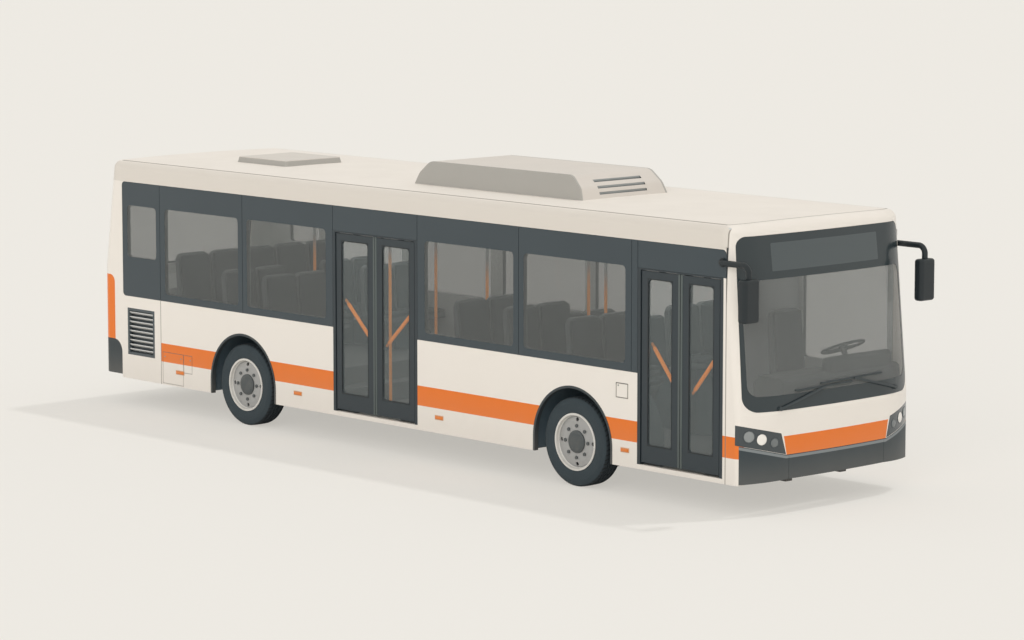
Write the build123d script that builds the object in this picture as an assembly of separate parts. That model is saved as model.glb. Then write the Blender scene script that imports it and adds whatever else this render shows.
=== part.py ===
from build123d import *
from math import sin, cos, radians, sqrt
import os

# City bus, single deck, with two double doors on its right side and single tyres on both axles.
# Millimetres. +X forwards, +Y to the left, +Z up. The origin is on the ground, below the middle of
# the overall length and width. Places along X are given from the origin unless a comment says else.

# Body shell
half_width = 1250.0
wall = 50.0
skirt_z = 311.0
cant_z = 2640.0
crown_z = 2866.0
shoulder_z = 2852.0
shoulder_y = 1180.0
roof_edge_r = 100.0
nose_x = 5195.0
tail_x = -5305.0
front_joint_x = 4835.0
rear_joint_x = -4173.0
fit = 0.3
beyond = 100.0
side_limit = 2000.0

# Plan of the body: levels of its four sections. The nose leans back above the second level and the
# tail above the third, both up to the top one.
plan_levels = (200.0, 1000.0, 1600.0, 2875.0)
nose_lean = 235.0
tail_lean = 188.0
# At the foot and at the top: half width of the flat middle of the nose, radius of its corners
nose_flat = (700.0, 950.0)
nose_corner_r = (80.0, 140.0)
nose_slope = 3.5
corner_slope = 30.0
tail_slope = 2.0
tail_corner_r = 140.0

# Wheels
wheelbase = 5350.0
front_axle_x = 2680.0
rear_axle_x = front_axle_x - wheelbase
tyre_r = 464.0
tyre_w = 255.0
tyre_crown = 44.0
bead_half = 112.0
rim_r = 286.0
rim_flange_r = 297.0
rim_half = 124.0
rim_t = 10.0
well_r = 262.0
track_half = 1090.0
disc_y = 92.0
disc_t = 16.0
disc_r = 206.0
hub_r = 116.0
hub_bore_r = 35.05
hub_bore_end = 46.0
hub_rise = 22.0
spindle_r = 35.0
bolt_circle_r = 165.0
nut_count = 8
nut_r = 19.0
nut_h = 16.0
hand_hole_count = 4
hand_hole_r = 21.0
hand_hole_circle_r = 230.0
drum_r = 205.0

# Steering
kingpin_y = 930.0
kingpin_r = 20.0
kingpin_gap = 0.05
knuckle_ear = 26.0
ear_gap = 1.0
boss_r = 46.0
boss_h = 120.0
steering_arm = 180.0
steering_arm_w = 20.0
tie_rod_z = 225.0
tie_rod_r = 14.0
tie_pin_r = 8.0
tie_eye_r = 17.0
tie_eye_h = 24.0
tie_pin_gap = 0.05

# Wheel arches and the boxes over the wheels
arch_r = 583.0
arch_trim = 26.0
arch_trim_stand = 3.0
box_wall = 15.0
box_gap = 2.0
front_box_y = 520.0
rear_box_y = 620.0

# Floors
floor_z = 360.0
floor_t = 30.0
rear_floor_z = 740.0
step_run = 260.0
riser_t = 20.0
hump_z = 1430.0
driver_floor_z = 680.0
podium_z = 640.0
podium_x = (720.0, 2075.0)
podium_y = 270.0
driver_podium_x = (3560.0, 4900.0)
driver_podium_y = 180.0
front_floor_x = 4930.0

# Glazing: bonded panes lie flush in a recess of the wall, over the lights that are cut through it
band_z0 = 1281.0
band_z1 = 2618.0
band_rear_x = -4885.0
band_corner_r = 50.0
glass_t = 6.0
recess = glass_t + fit
light_z0 = 1362.0
light_z1 = 2347.0
light_r = 50.0
cab_band_z0 = 1130.0
pane_gap = 6.0

# Doors: the opening's rear and front edge
front_door = (3615.0, 4796.0)
middle_door = (-1090.0, 298.0)
door_top_z = 2340.0
sill_z = 360.0
jamb = 42.0
leaf_gap = 13.0
leaf_meet = 8.0
leaf_t = 30.0
leaf_inset = 7.0
leaf_z0 = 388.0
leaf_z1 = 2318.0
leaf_stile = 88.0
leaf_meeting_stile = 118.0
leaf_foot = 180.0
leaf_head = 83.0
leaf_glass_t = 6.0
leaf_light_r = 40.0
lintel_gap = 8.0
post_r = 14.0
post_line = 70.0
post_beyond = 32.0
roller_back = 50.0
roller_r = 9.0
pivot_r = 8.0
pivot_gap = 0.05
arm_t = 14.0
arm_w = 30.0
arm_gap = 7.0
rail_r = 14.0
rail_off = 45.0
rail_end = 16.0
rail_round = 6.0
rail_foot_r = 9.0
rail_z = (1577.0, 1150.0)
header_depth = 120.0
header_h = 190.0
header_t = 5.0
header_gap = 8.0
slot_half = 15.0

# Rear module
bumper_rear_x = -4915.0
bumper_rear_z = (350.0, 755.0)
bumper_rear_r = 150.0
rear_glass = (-1000.0, 1000.0, 1500.0, 2440.0)
engine_door = (-860.0, 860.0, 500.0, 1400.0)
door_t = 30.0
door_gap = 6.0
rebate = 22.0
flange = 45.0
engine_louvre = (-560.0, 560.0, 1010.0, 1310.0)
engine_slats = 7
engine_hinges_y = (-620.0, 0.0, 620.0)
hinge_r = 9.0
hinge_half = 48.0
hinge_eye_half = 20.0
hinge_strap = 42.0
hinge_strap_t = 14.0
hinge_pin_r = 4.0
hinge_pin_gap = 0.05
grille = (-4805.0, -4292.0, 596.0, 1145.0)
grille_frame = 32.0
grille_slats = 9
slat_t = 8.0
slat_w = 42.0
slat_turn = 35.0
tail_lamp_y = 1080.0
tail_lamp_z = (820.0, 960.0, 1100.0, 1240.0)
tail_lamp_r = 55.0

# Front mask
screen_y = 1205.0
screen_z = (1030.0, 2740.0)
screen_taper = 30.0
screen_top_r = 100.0
screen_foot_r = 150.0
# Headlamp: its corners as (y, z), from the outer top corner
lamp = [(1260.0, 912.0), (800.0, 806.0), (738.0, 591.0), (1260.0, 713.0)]
lamp_x = 4962.0
bumper_x = 5000.0
bumper_top = [(-1300.0, 720.0), (-738.0, 588.0), (738.0, 588.0), (1300.0, 720.0)]
bumper_foot = [(1300.0, 318.0), (700.0, 345.0), (-700.0, 345.0), (-1300.0, 318.0)]
bumper_split_y = 700.0
bumper_split = 4.0
display_y = 775.0
display_z = (2385.0, 2660.0)
display_t = 50.0

# Air unit and hatch on the roof
unit_x = (-455.0, 2185.0)
unit_y = 640.0
unit_z = 3112.0
unit_end = (70.0, 215.0)
unit_end_r = 130.0
unit_side_slope = 12.0
unit_edge_r = 14.0
unit_vents_z = (3040.0, 2978.0, 2916.0)
unit_vent_y = 345.0
unit_vent_h = 24.0
unit_vent_depth = 70.0
hatch_x = (-3790.0, -2880.0)
hatch_y = 430.0
hatch_z = 2928.0
hatch_taper = 24.0
hatch_r = 26.0

# Mirrors
mirror_x = 4788.0
mirror_z = 2492.0
mirror_arm_r = 30.0
mirror_arm_y = half_width + 42.0
mirror_head_x = 5172.0
mirror_head = (115.0, 225.0, 425.0)
mirror_head_r = 44.0
mirror_head_round = 30.0
mirror_head_z = 2150.0
mirror_base_r = 44.0

# Underframe
rail_y = 400.0
rail_w = 90.0
low_rail_z = 250.0
high_rail_z = 590.0
rail_front_x = 4900.0
rail_rear_x = tail_x + 120.0
cross_w = 60.0
cross_rise = 36.0
cross_reach = 1100.0
tow_bore_r = 20.0
tow_bore_depth = 100.0
jack_pad = (140.0, 90.0, 20.0)
jack_pad_x = (1500.0, -1450.0)

# Axles and springs
beam_z = (150.0, 215.0)
beam_w = 80.0
axle_tube_r = 72.0
bracket_z = (430.0, 450.0)
spring_plate_y = 60.0
spring_plate_x = 370.0
front_spring_top = 296.0
rear_spring_off = 270.0
front_spring_r = 85.0
rear_spring_r = 100.0
bellows_dip = 14.0

# Seats
seat_h = 440.0
seat_w = 445.0
seat_d = 430.0
seat_t = 75.0
back_full = 660.0
back_low = 560.0
back_t = 62.0
back_rake = 115.0
back_r = 26.0
leg_x = 150.0
leg_w = 60.0
leg_half = 120.0
seat_y = (950.0, 490.0)
over_box_z = 716.0
driver_seat_place = (3860.0, 650.0)

# Inside
pole_r = 17.0
partition_x = (3510.0, 3540.0)
partition_y = 250.0
partition_z = 2050.0
wheel_centre = (4655.0, 650.0, 1470.0)
wheel_tilt = 22.0
wheel_ring = (218.0, 15.0)
wheel_hub_r = 48.0
column_r = 30.0
column_l = 260.0

parts = {}


def block(x0, x1, y0, y1, z0, z1):
    centre = Pos((x0 + x1) / 2, (y0 + y1) / 2, (z0 + z1) / 2)
    return centre * Box(abs(x1 - x0), abs(y1 - y0), abs(z1 - z0))


def rod(x, y, z0, z1, r):
    return Pos(x, y, (z0 + z1) / 2) * Cylinder(r, abs(z1 - z0))


def rod_x(x0, x1, y, z, r):
    return Pos((x0 + x1) / 2, y, z) * Rot(0, 90, 0) * Cylinder(r, abs(x1 - x0))


def rod_y(x, y0, y1, z, r):
    return Pos(x, (y0 + y1) / 2, z) * Rot(90, 0, 0) * Cylinder(r, abs(y1 - y0))


def rounded(x0, x1, z0, z1, y0, y1, r):
    """A plate in the XZ plane with rounded corners, from y0 to y1."""
    face = Plane(origin=((x0 + x1) / 2, y0, (z0 + z1) / 2), x_dir=(1, 0, 0), z_dir=(0, 1, 0))
    return extrude(face * RectangleRounded(x1 - x0, z1 - z0, r), y1 - y0)


def prism_x(points, x0, x1):
    """A prism along X whose section is given by (y, z) points."""
    face = make_face(Polyline(*points, close=True))
    return extrude(Pos(x0, 0, 0) * (Plane.YZ * face), x1 - x0, dir=(1, 0, 0))


def prism_y(points, y0, y1):
    """A prism along Y whose section is given by (x, z) points."""
    face = make_face(Polyline(*[(x, y0, z) for x, z in points], close=True))
    return extrude(face, y1 - y0, dir=(0, 1, 0))


def mirrored(shape):
    return mirror(shape, Plane.XZ)


def both_sides(shape):
    return [shape, mirrored(shape)]


def arc_at(cx, cy, r, a0, a1):
    """An arc about (cx, cy), between two angles in degrees."""
    ends = [(cx + r * cos(radians(a)), cy + r * sin(radians(a))) for a in (a0, (a0 + a1) / 2, a1)]
    return ThreePointArc(*ends)


def ramp(level, foot):
    """How far a level is from foot, 0, to the top level, 1."""
    return max(0.0, (level - foot) / (plan_levels[-1] - foot))


def plan(level, inset):
    """Outline of the body in plan: a bowed nose of three arcs a side, flat flanks, a bowed tail."""
    up = ramp(level, plan_levels[1])
    nose = nose_x - nose_lean * up
    flat = nose_flat[0] + (nose_flat[1] - nose_flat[0]) * up
    r = nose_corner_r[0] + (nose_corner_r[1] - nose_corner_r[0]) * up
    tail = tail_x + tail_lean * ramp(level, plan_levels[2])
    a, b, c = radians(nose_slope), radians(corner_slope), radians(tail_slope)
    r_mid = flat / sin(a)
    x_mid = nose - r_mid
    r_side = (half_width - r * (1 - sin(b)) - flat) / (sin(b) - sin(a))
    x_side = x_mid + (r_mid - r_side) * cos(a)
    y_side = flat - r_side * sin(a)
    x_cor = x_side + (r_side - r) * cos(b)
    y_cor = half_width - r
    r_tail = (half_width - tail_corner_r * (1 - sin(c))) / sin(c)
    x_tail = tail + r_tail
    x_tc = x_tail - (r_tail - tail_corner_r) * cos(c)
    y_tc = half_width - tail_corner_r
    flank = half_width - inset
    edges = [
        arc_at(x_mid, 0, r_mid - inset, -nose_slope, nose_slope),
        arc_at(x_side, y_side, r_side - inset, nose_slope, corner_slope),
        arc_at(x_cor, y_cor, r - inset, corner_slope, 90),
        Line((x_cor, flank), (x_tc, flank)),
        arc_at(x_tc, y_tc, tail_corner_r - inset, 90, 180 - tail_slope),
        arc_at(x_tail, 0, r_tail - inset, 180 - tail_slope, 180 + tail_slope),
        arc_at(x_tc, -y_tc, tail_corner_r - inset, 180 + tail_slope, 270),
        Line((x_tc, -flank), (x_cor, -flank)),
        arc_at(x_cor, -y_cor, r - inset, -90, -corner_slope),
        arc_at(x_side, -y_side, r_side - inset, -corner_slope, -nose_slope),
    ]
    return Pos(0, 0, level) * make_face(Curve() + edges)


envelopes = {}


def envelope(inset):
    """The body as one solid, drawn in by inset: lofted plan, cambered roof, rounded roof edge."""
    if inset not in envelopes:
        body = loft([plan(level, inset) for level in plan_levels], ruled=True)
        w = half_width + beyond
        crown = crown_z - inset
        sag = (crown_z - shoulder_z) * (w / shoulder_y) ** 2
        top = make_face(Curve() + [
            Line((-w, crown - sag), (-w, 0)),
            Line((-w, 0), (w, 0)),
            Line((w, 0), (w, crown - sag)),
            ThreePointArc((w, crown - sag), (0, crown), (-w, crown - sag)),
        ])
        length = nose_x - tail_x + 2 * beyond
        body = body & extrude(Pos(tail_x - beyond, 0, 0) * (Plane.YZ * top), length, dir=(1, 0, 0))
        roof_face = body.faces().sort_by(Axis.Z)[-1]
        envelopes[inset] = fillet(roof_face.edges(), roof_edge_r - inset)
    return envelopes[inset]


def skin(region, outer, inner):
    """The layer of a region between two depths below the body's surface."""
    return (envelope(outer) & region) - envelope(inner)


def slice_x(x0, x1, z0, z1):
    """Everything between two stations along X and two levels."""
    return block(x0, x1, -side_limit, side_limit, z0, z1)


# Body shell, cut where the real panels meet
shell = envelope(0.0) - envelope(wall)
roof_top_z = crown_z + beyond
parts["roof"] = shell & slice_x(tail_x - beyond, front_joint_x, cant_z, roof_top_z)

# Lights of each side: rear edge, front edge, lower edge, upper edge
right_lights = [
    (-4790.0, -4245.0, 1744.0, 2346.0),
    (-4082.0, -2741.0, light_z0, light_z1),
    (-2583.0, -1211.0, light_z0, light_z1),
    (416.0, 1796.0, light_z0, light_z1),
    (1951.0, 3440.0, light_z0, light_z1),
]
left_lights = [
    (-4790.0, -4245.0, 1744.0, 2346.0),
    (-4082.0, -2741.0, light_z0, light_z1),
    (-2583.0, -1211.0, light_z0, light_z1),
    (-1012.0, 338.0, light_z0, light_z1),
    (496.0, 1796.0, light_z0, light_z1),
    (1951.0, 3440.0, light_z0, light_z1),
    (3600.0, 4760.0, 1210.0, light_z1),
]
# Panes of the bonded band: rear edge, front edge, lower edge, upper edge
right_panes = [
    (band_rear_x, rear_joint_x, band_z0, band_z1),
    (rear_joint_x, -2661.0, band_z0, band_z1),
    (-2661.0, middle_door[0], band_z0, band_z1),
    (middle_door[0], middle_door[1], door_top_z, band_z1),
    (middle_door[1], 1876.0, band_z0, band_z1),
    (1876.0, 3528.0, band_z0, band_z1),
    (3528.0, front_door[0], band_z0, band_z1),
    (front_door[0], front_joint_x, door_top_z, band_z1),
]
left_panes = [
    (band_rear_x, rear_joint_x, band_z0, band_z1),
    (rear_joint_x, -2661.0, band_z0, band_z1),
    (-2661.0, middle_door[0], band_z0, band_z1),
    (middle_door[0], 417.0, band_z0, band_z1),
    (417.0, 1876.0, band_z0, band_z1),
    (1876.0, 3520.0, band_z0, band_z1),
    (3520.0, front_joint_x, cab_band_z0, band_z1),
]


def band_plate(pane, y0, y1, gap, x_limit):
    """A pane's plate, drawn in by gap. The band's two ends have rounded outer corners."""
    x0, x1, z0, z1 = pane[0] + gap, pane[1] - gap, pane[2] + gap, pane[3] - gap
    middle = (x0 + x1) / 2
    if pane[0] == band_rear_x:
        plate = rounded(x0, x1, z0, z1, y0, y1, band_corner_r) + block(middle, x1, y0, y1, z0, z1)
    elif pane[1] == front_joint_x:
        plate = rounded(x0, x1, z0, z1, y0, y1, band_corner_r) + block(x0, middle, y0, y1, z0, z1)
        plate += block(middle, x1, y0, y1, z0, (z0 + z1) / 2)
    else:
        plate = block(x0, x1, y0, y1, z0, z1)
    return plate & block(max(x0, x_limit), x1, y0, y1, z0, z1)


def lights_cut(lights):
    inner_y = half_width - wall - beyond
    return [rounded(x0, x1, z0, z1, inner_y, half_width + beyond, light_r) for x0, x1, z0, z1 in lights]


def arch_cut(x, y0, y1, r):
    return rod_y(x, y0, y1, tyre_r, r) + block(x - r, x + r, y0, y1, 0, tyre_r)


# Service flaps: grooves cut round them, as rear edge, front edge, lower edge, upper edge
groove_w = 5.0
groove_depth = 4.0
flaps = [
    (-4140.0, -3760.0, 330.0, 690.0),
    (-3750.0, -3600.0, 486.0, 690.0),
    (3315.0, 3480.0, 1007.0, 1151.0),
]


def groove(x0, x1, z0, z1):
    y0, y1 = half_width - groove_depth, half_width + beyond
    ring = block(x0 - groove_w, x1 + groove_w, y0, y1, z0 - groove_w, z1 + groove_w)
    return ring - block(x0, x1, y0 - 1, y1 + 1, z0, z1)


def side_wall(lights, doors, bonded):
    """A flank between the rear and front joints, recessed for its bonded glass."""
    body = block(rear_joint_x, front_joint_x, half_width - wall, half_width, skirt_z, cant_z)
    body -= lights_cut(lights)
    for pane in bonded:
        body -= band_plate(pane, half_width - recess, half_width + beyond, 0.0, rear_joint_x - beyond)
    for x in (front_axle_x, rear_axle_x):
        body -= arch_cut(x, half_width - wall - beyond, half_width + beyond, arch_r)
    for x0, x1 in doors:
        body -= block(x0, x1, half_width - wall - beyond, half_width + beyond, sill_z, door_top_z)
    for flap in flaps:
        body -= groove(*flap)
    return body


parts["wall_left"] = side_wall(left_lights[1:], [], left_panes)
parts["wall_right"] = mirrored(side_wall(right_lights[1:], [front_door, middle_door], right_panes))

# Rear module: everything behind the rear joint, below the roof


def tail_block(limits, grow, depth=400.0):
    """A block through the tail: right, left, lower and upper edge, each moved out by grow."""
    right, left, low, high = limits
    return block(tail_x - beyond, tail_x + depth, right - grow, left + grow, low - grow, high + grow)


def tail_lamp_rods(r):
    rods = []
    for z in tail_lamp_z:
        rods += both_sides(rod_x(tail_x - beyond, tail_x + beyond, tail_lamp_y, z, r))
    return rods




def bumper_region(low, gap):
    """Where the rear bumper goes: its front top corner is rounded."""
    x1, z1 = bumper_rear_x - gap, bumper_rear_z[1] - gap
    region = slice_x(tail_x - beyond, x1, low, z1)
    return fillet(region.edges().filter_by(Axis.Y).group_by(Axis.Z)[-1].sort_by(Axis.X)[-1], bumper_rear_r)


rear = shell & slice_x(tail_x - beyond, rear_joint_x, skirt_z, cant_z)
rear -= bumper_region(0, 0.0)
for lights, turn in ((right_lights, mirrored), (left_lights, lambda shape: shape)):
    rear -= turn(lights_cut(lights[:1])[0])
    rear -= turn(band_plate(right_panes[0], half_width - recess, half_width + beyond, 0.0, band_rear_x))
    rear -= turn(block(grille[0], grille[1], half_width - wall - 10, half_width + 10, grille[2], grille[3]))
rear -= tail_block(rear_glass, -flange) + (tail_block(rear_glass, fit) - envelope(recess))
rear -= tail_block(engine_door, -rebate) + (tail_block(engine_door, door_gap) - envelope(door_t + door_gap))
rear -= tail_block((engine_door[0], engine_door[1], 0.0, engine_door[2] + beyond), -rebate)
rear -= tail_lamp_rods(tail_lamp_r + fit)

# Hinges along the engine door's top edge: the wall's eyes carry the pins, the door's eyes turn on them
hinge_x = tail_x - hinge_r
hinge_z = engine_door[3] + door_gap / 2


def hinge_notch(y):
    return rod_y(hinge_x, y - hinge_half - door_gap, y + hinge_half + door_gap, hinge_z, hinge_r + door_gap)


def hinge_eye(y0, y1, turn):
    """An eye with its strap, upwards for turn 1 and downwards for turn -1."""
    strap = block(hinge_x - 3, tail_x + hinge_strap_t, y0, y1, hinge_z, hinge_z + turn * hinge_strap)
    return rod_y(hinge_x, y0, y1, hinge_z, hinge_r) + strap


for y in engine_hinges_y:
    rear -= hinge_notch(y)
    rear += hinge_eye(y - hinge_half, y - hinge_eye_half - door_gap, 1)
    rear += hinge_eye(y + hinge_eye_half + door_gap, y + hinge_half, 1)
    rear += rod_y(hinge_x, y - hinge_half, y + hinge_half, hinge_z, hinge_pin_r)
parts["rear_wall"] = rear

parts["rear_bumper"] = (shell & bumper_region(bumper_rear_z[0], fit)) - tail_block(engine_door, door_gap)
parts["rear_window"] = skin(tail_block(rear_glass, 0.0), 0.0, glass_t)
lamp_region = Compound(children=[s for r in tail_lamp_rods(tail_lamp_r) for s in r.solids()])
parts["tail_lamps"] = [skin(rod, -6.0, 30.0) for rod in tail_lamp_rods(tail_lamp_r)]


def slats(x0, x1, z0, z1, count, make):
    """Levels of evenly spaced slats, each made by a function of its level."""
    pitch = (z1 - z0) / count
    return [make(z0 + (i + 0.5) * pitch) for i in range(count)]


# Engine door: a pressed panel with a louvred vent
panel = skin(tail_block(engine_door, 0.0), 0.0, door_t)
panel -= tail_block(engine_louvre, 0.0)
vent_y = (engine_louvre[1] - engine_louvre[0]) / 2 + 5
panel += slats(0, 0, engine_louvre[2], engine_louvre[3], engine_slats, lambda z: Pos(
    tail_x + door_t / 2 + 4, 0, z) * Rot(0, slat_turn, 0) * Box(door_t - 4, 2 * vent_y, slat_t))
for y in engine_hinges_y:
    panel -= hinge_notch(y)
    panel += hinge_eye(y - hinge_eye_half, y + hinge_eye_half, -1)
    panel -= rod_y(hinge_x, y - hinge_half, y + hinge_half, hinge_z, hinge_pin_r + hinge_pin_gap)
parts["engine_door"] = panel

# Side grilles: frames with raked slats, set into the flanks
frame_y = (half_width - 40.0, half_width)
slat_l = grille[1] - grille[0] - 2 * grille_frame
frame = block(grille[0] + fit, grille[1] - fit, *frame_y, grille[2] + fit, grille[3] - fit)
frame -= block(grille[0] + grille_frame, grille[1] - grille_frame, frame_y[0] - 1, frame_y[1] + 1,
               grille[2] + grille_frame, grille[3] - grille_frame)
frame += slats(0, 0, grille[2] + grille_frame, grille[3] - grille_frame, grille_slats, lambda z: Pos(
    (grille[0] + grille[1]) / 2, half_width - 22, z) * Rot(slat_turn, 0, 0) * Box(slat_l + 4, slat_w, slat_t))
parts["side_grilles"] = both_sides(frame)


# Front mask: the corner panels and the screen's surround
def screen_shape(grow):
    low, high = screen_z[0] - grow, screen_z[1] + grow
    foot, head = screen_y + grow, screen_y - screen_taper + grow
    face = make_face(Polyline((-foot, low), (foot, low), (head, high), (-head, high), close=True))
    face = fillet(face.vertices().group_by(Axis.Y)[-1], screen_top_r + grow)
    face = fillet(face.vertices().group_by(Axis.Y)[0], screen_foot_r + grow)
    length = nose_x + beyond - bumper_x + 500
    return extrude(Pos(bumper_x - 500, 0, 0) * (Plane.YZ * face), length, dir=(1, 0, 0))


def nose_prism(points, x0):
    return prism_x(points, x0, nose_x + beyond)


mask = shell & slice_x(front_joint_x, nose_x + beyond, skirt_z, roof_top_z)
mask -= screen_shape(-flange)
mask -= screen_shape(2.0) - envelope(recess)
mask -= both_sides(nose_prism(lamp, lamp_x))
mask -= nose_prism(bumper_top + [(1300.0, 0.0), (-1300.0, 0.0)], bumper_x)
parts["front_mask"] = mask
parts["windscreen"] = skin(screen_shape(0.0), 0.0, glass_t)

bumper_lip = [(y, z - fit) for y, z in bumper_top]
lower = skin(nose_prism(bumper_lip + bumper_foot, bumper_x + fit), 0.0, wall)
for y in (bumper_split_y, -bumper_split_y):
    lower -= block(bumper_x - beyond, nose_x + beyond, y - bumper_split / 2, y + bumper_split / 2, 0, 1000)
parts["front_bumper"] = lower

lamp_inner = offset(make_face(Polyline(*lamp, close=True)), -fit)
lamp_box = extrude(Pos(lamp_x + fit, 0, 0) * (Plane.YZ * lamp_inner), nose_x + beyond - lamp_x, dir=(1, 0, 0))
parts["headlamps"] = both_sides(skin(lamp_box, 1.0, wall))

# Destination display behind the top of the screen
display = block(bumper_x - 500, nose_x, -display_y, display_y, *display_z)
parts["destination_display"] = skin(display, glass_t + fit, glass_t + fit + display_t)

# Side glass
pane_y = (half_width - glass_t, half_width)
glass = [mirrored(band_plate(pane, *pane_y, pane_gap / 2, band_rear_x)) for pane in right_panes]
glass += [band_plate(pane, *pane_y, pane_gap / 2, band_rear_x) for pane in left_panes]
parts["side_glass"] = glass

# Doors that glide inwards: a post beside each leaf carries an arm above and below it, the leaf
# turns on the arms' ends, and a roller at its meeting edge runs in the header's slot
post_y = -half_width + post_line
leaf_y = (-half_width + leaf_inset, -half_width + leaf_inset + leaf_t)
arm_z = (
    (leaf_z0 - arm_gap - arm_t, leaf_z0 - arm_gap),
    (leaf_z1 + arm_gap, leaf_z1 + arm_gap + arm_t),
)
header_z = arm_z[1][1] + header_gap
bracket_half = 30.0
bracket_t = 26.0
glass_y = ((leaf_y[0] + leaf_y[1] - leaf_glass_t) / 2, (leaf_y[0] + leaf_y[1] + leaf_glass_t) / 2)


def leaf_pair(opening):
    """Both leaves of a door: hinge edge, direction along X, width and arm length."""
    clear0 = opening[0] + jamb + leaf_gap
    clear1 = opening[1] - jamb - leaf_gap
    width = (clear1 - clear0 - leaf_meet) / 2
    arm = (post_beyond + width - roller_back) / 2
    return [(clear0, 1, width, arm), (clear1, -1, width, arm)]


def door_post(edge, s, arm):
    """The turning post of one leaf with its two arms."""
    px = edge - s * post_beyond
    qx = px + s * arm
    post = rod(px, post_y, floor_z + 3, header_z + 20, post_r)
    for z0, z1 in arm_z:
        bar = block(px, qx, post_y - arm_w / 2, post_y + arm_w / 2, z0, z1)
        bar += rod(px, post_y, z0, z1, arm_w / 2 + 3)
        bar += rod(qx, post_y, z0, z1, arm_w / 2 + 1)
        post += bar - rod(qx, post_y, z0 - 1, z1 + 1, pivot_r + pivot_gap)
    return post


def leaf_light(edge, s, width, grow):
    """Rear, front, lower and upper edge of a leaf's pane, drawn in by grow."""
    rear_x, fore_x = sorted((edge + s * leaf_stile, edge + s * (width - leaf_meeting_stile)))
    return rear_x + grow, fore_x - grow, leaf_z0 + leaf_foot + grow, leaf_z1 - leaf_head - grow


def grab_rail(edge, s, width):
    """A rail on the leaf's inner face that slopes down towards the meeting edge."""
    y = leaf_y[1] + rail_off
    start = Vector(edge + s * (leaf_stile - 12), y, rail_z[0])
    stop = Vector(edge + s * (width - leaf_meeting_stile + 12), y, rail_z[1])
    run = stop - start
    rail = Plane(origin=start, z_dir=run) * Pos(0, 0, run.length / 2) * Cylinder(rail_r, run.length + 2 * rail_end)
    rail = fillet(rail.edges().filter_by(GeomType.CIRCLE), rail_round)
    for end in (start, stop):
        rail += rod_y(end.X, leaf_y[1] - 2, y + 1, end.Z, rail_foot_r)
    return rail


def door_leaf(edge, s, width, arm):
    px = edge - s * post_beyond
    qx = px + s * arm
    gx = px + s * 2 * arm
    leaf = block(edge, edge + s * width, *leaf_y, leaf_z0, leaf_z1)
    leaf -= rounded(*leaf_light(edge, s, width, 0.0), leaf_y[0] - 5, leaf_y[1] + 5, leaf_light_r)
    for z0, z1 in ((leaf_z0, leaf_z0 + bracket_t), (leaf_z1 - bracket_t, leaf_z1)):
        leaf += block(qx - bracket_half, qx + bracket_half, leaf_y[1], post_y + pivot_r * 2, z0, z1)
    leaf += rod(qx, post_y, arm_z[0][0], leaf_z0 + 5, pivot_r)
    leaf += rod(qx, post_y, leaf_z1 - 5, arm_z[1][1], pivot_r)
    leaf += block(gx - 12, gx + 12, leaf_y[1], post_y + 12, leaf_z1 - bracket_t, leaf_z1)
    leaf += rod(gx, post_y, leaf_z1 - 5, header_z + 16, roller_r)
    return leaf + grab_rail(edge, s, width)


def door_header(opening):
    """A hollow box over the doorway, slotted below for the rollers, and the posts' foot bearings."""
    (e0, _, _, _), (e1, _, _, _) = leaf_pair(opening)
    x0, x1 = e0 - post_beyond - 40, e1 + post_beyond + 40
    y0 = -half_width + wall + fit
    y1 = y0 + header_depth
    top = header_z + header_h
    box = block(x0, x1, y0, y1, header_z, top)
    box -= block(x0 + header_t, x1 - header_t, y0 + header_t, y1 - header_t, header_z + header_t, top - header_t)
    box -= block(x0 + 20, x1 - 20, post_y - slot_half, post_y + slot_half, header_z - 1, header_z + 40)
    feet = []
    for px in (e0 - post_beyond, e1 + post_beyond):
        box += rod(px, post_y, header_z, header_z + 40, post_r + 4)
        box -= rod(px, post_y, header_z - 1, header_z + 30, post_r + fit)
        feet.append(rod(px, post_y, floor_z, floor_z + 2.7, post_r + 5))
    return [box] + feet


def door_frame(opening):
    x0, x1 = opening
    frame = block(x0 + fit, x1 - fit, -half_width, -half_width + wall, sill_z + fit, door_top_z - fit)
    return frame - block(x0 + jamb, x1 - jamb, -half_width - 10, -half_width + wall + 10,
                         sill_z - 10, leaf_z1 + lintel_gap)


parts["door_frames"] = [door_frame(front_door), door_frame(middle_door)]
parts["door_frames"] += door_header(front_door) + door_header(middle_door)
for name, opening in (("front", front_door), ("middle", middle_door)):
    for (edge, s, width, arm), place in zip(leaf_pair(opening), ("rear", "fore")):
        label = f"{name}_door_{place}"
        parts[f"{label}_arm"] = door_post(edge, s, arm)
        parts[f"{label}_leaf"] = door_leaf(edge, s, width, arm)
        parts[f"{label}_glass"] = rounded(*leaf_light(edge, s, width, fit), *glass_y, leaf_light_r - fit)

# Floor: a low board in front, notched for the front wheel boxes
floor_y = half_width - wall
step_x = middle_door[0] - 110.0
box_r = arch_r + box_wall + box_gap
board = block(step_x, front_floor_x, -floor_y, floor_y, floor_z - floor_t, floor_z)
for side in (1, -1):
    board -= block(front_axle_x - box_r - fit, front_axle_x + box_r + fit, side * (front_box_y - fit),
                   side * side_limit, 0, floor_z + 1)
parts["floor"] = board & envelope(wall + fit)

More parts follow.
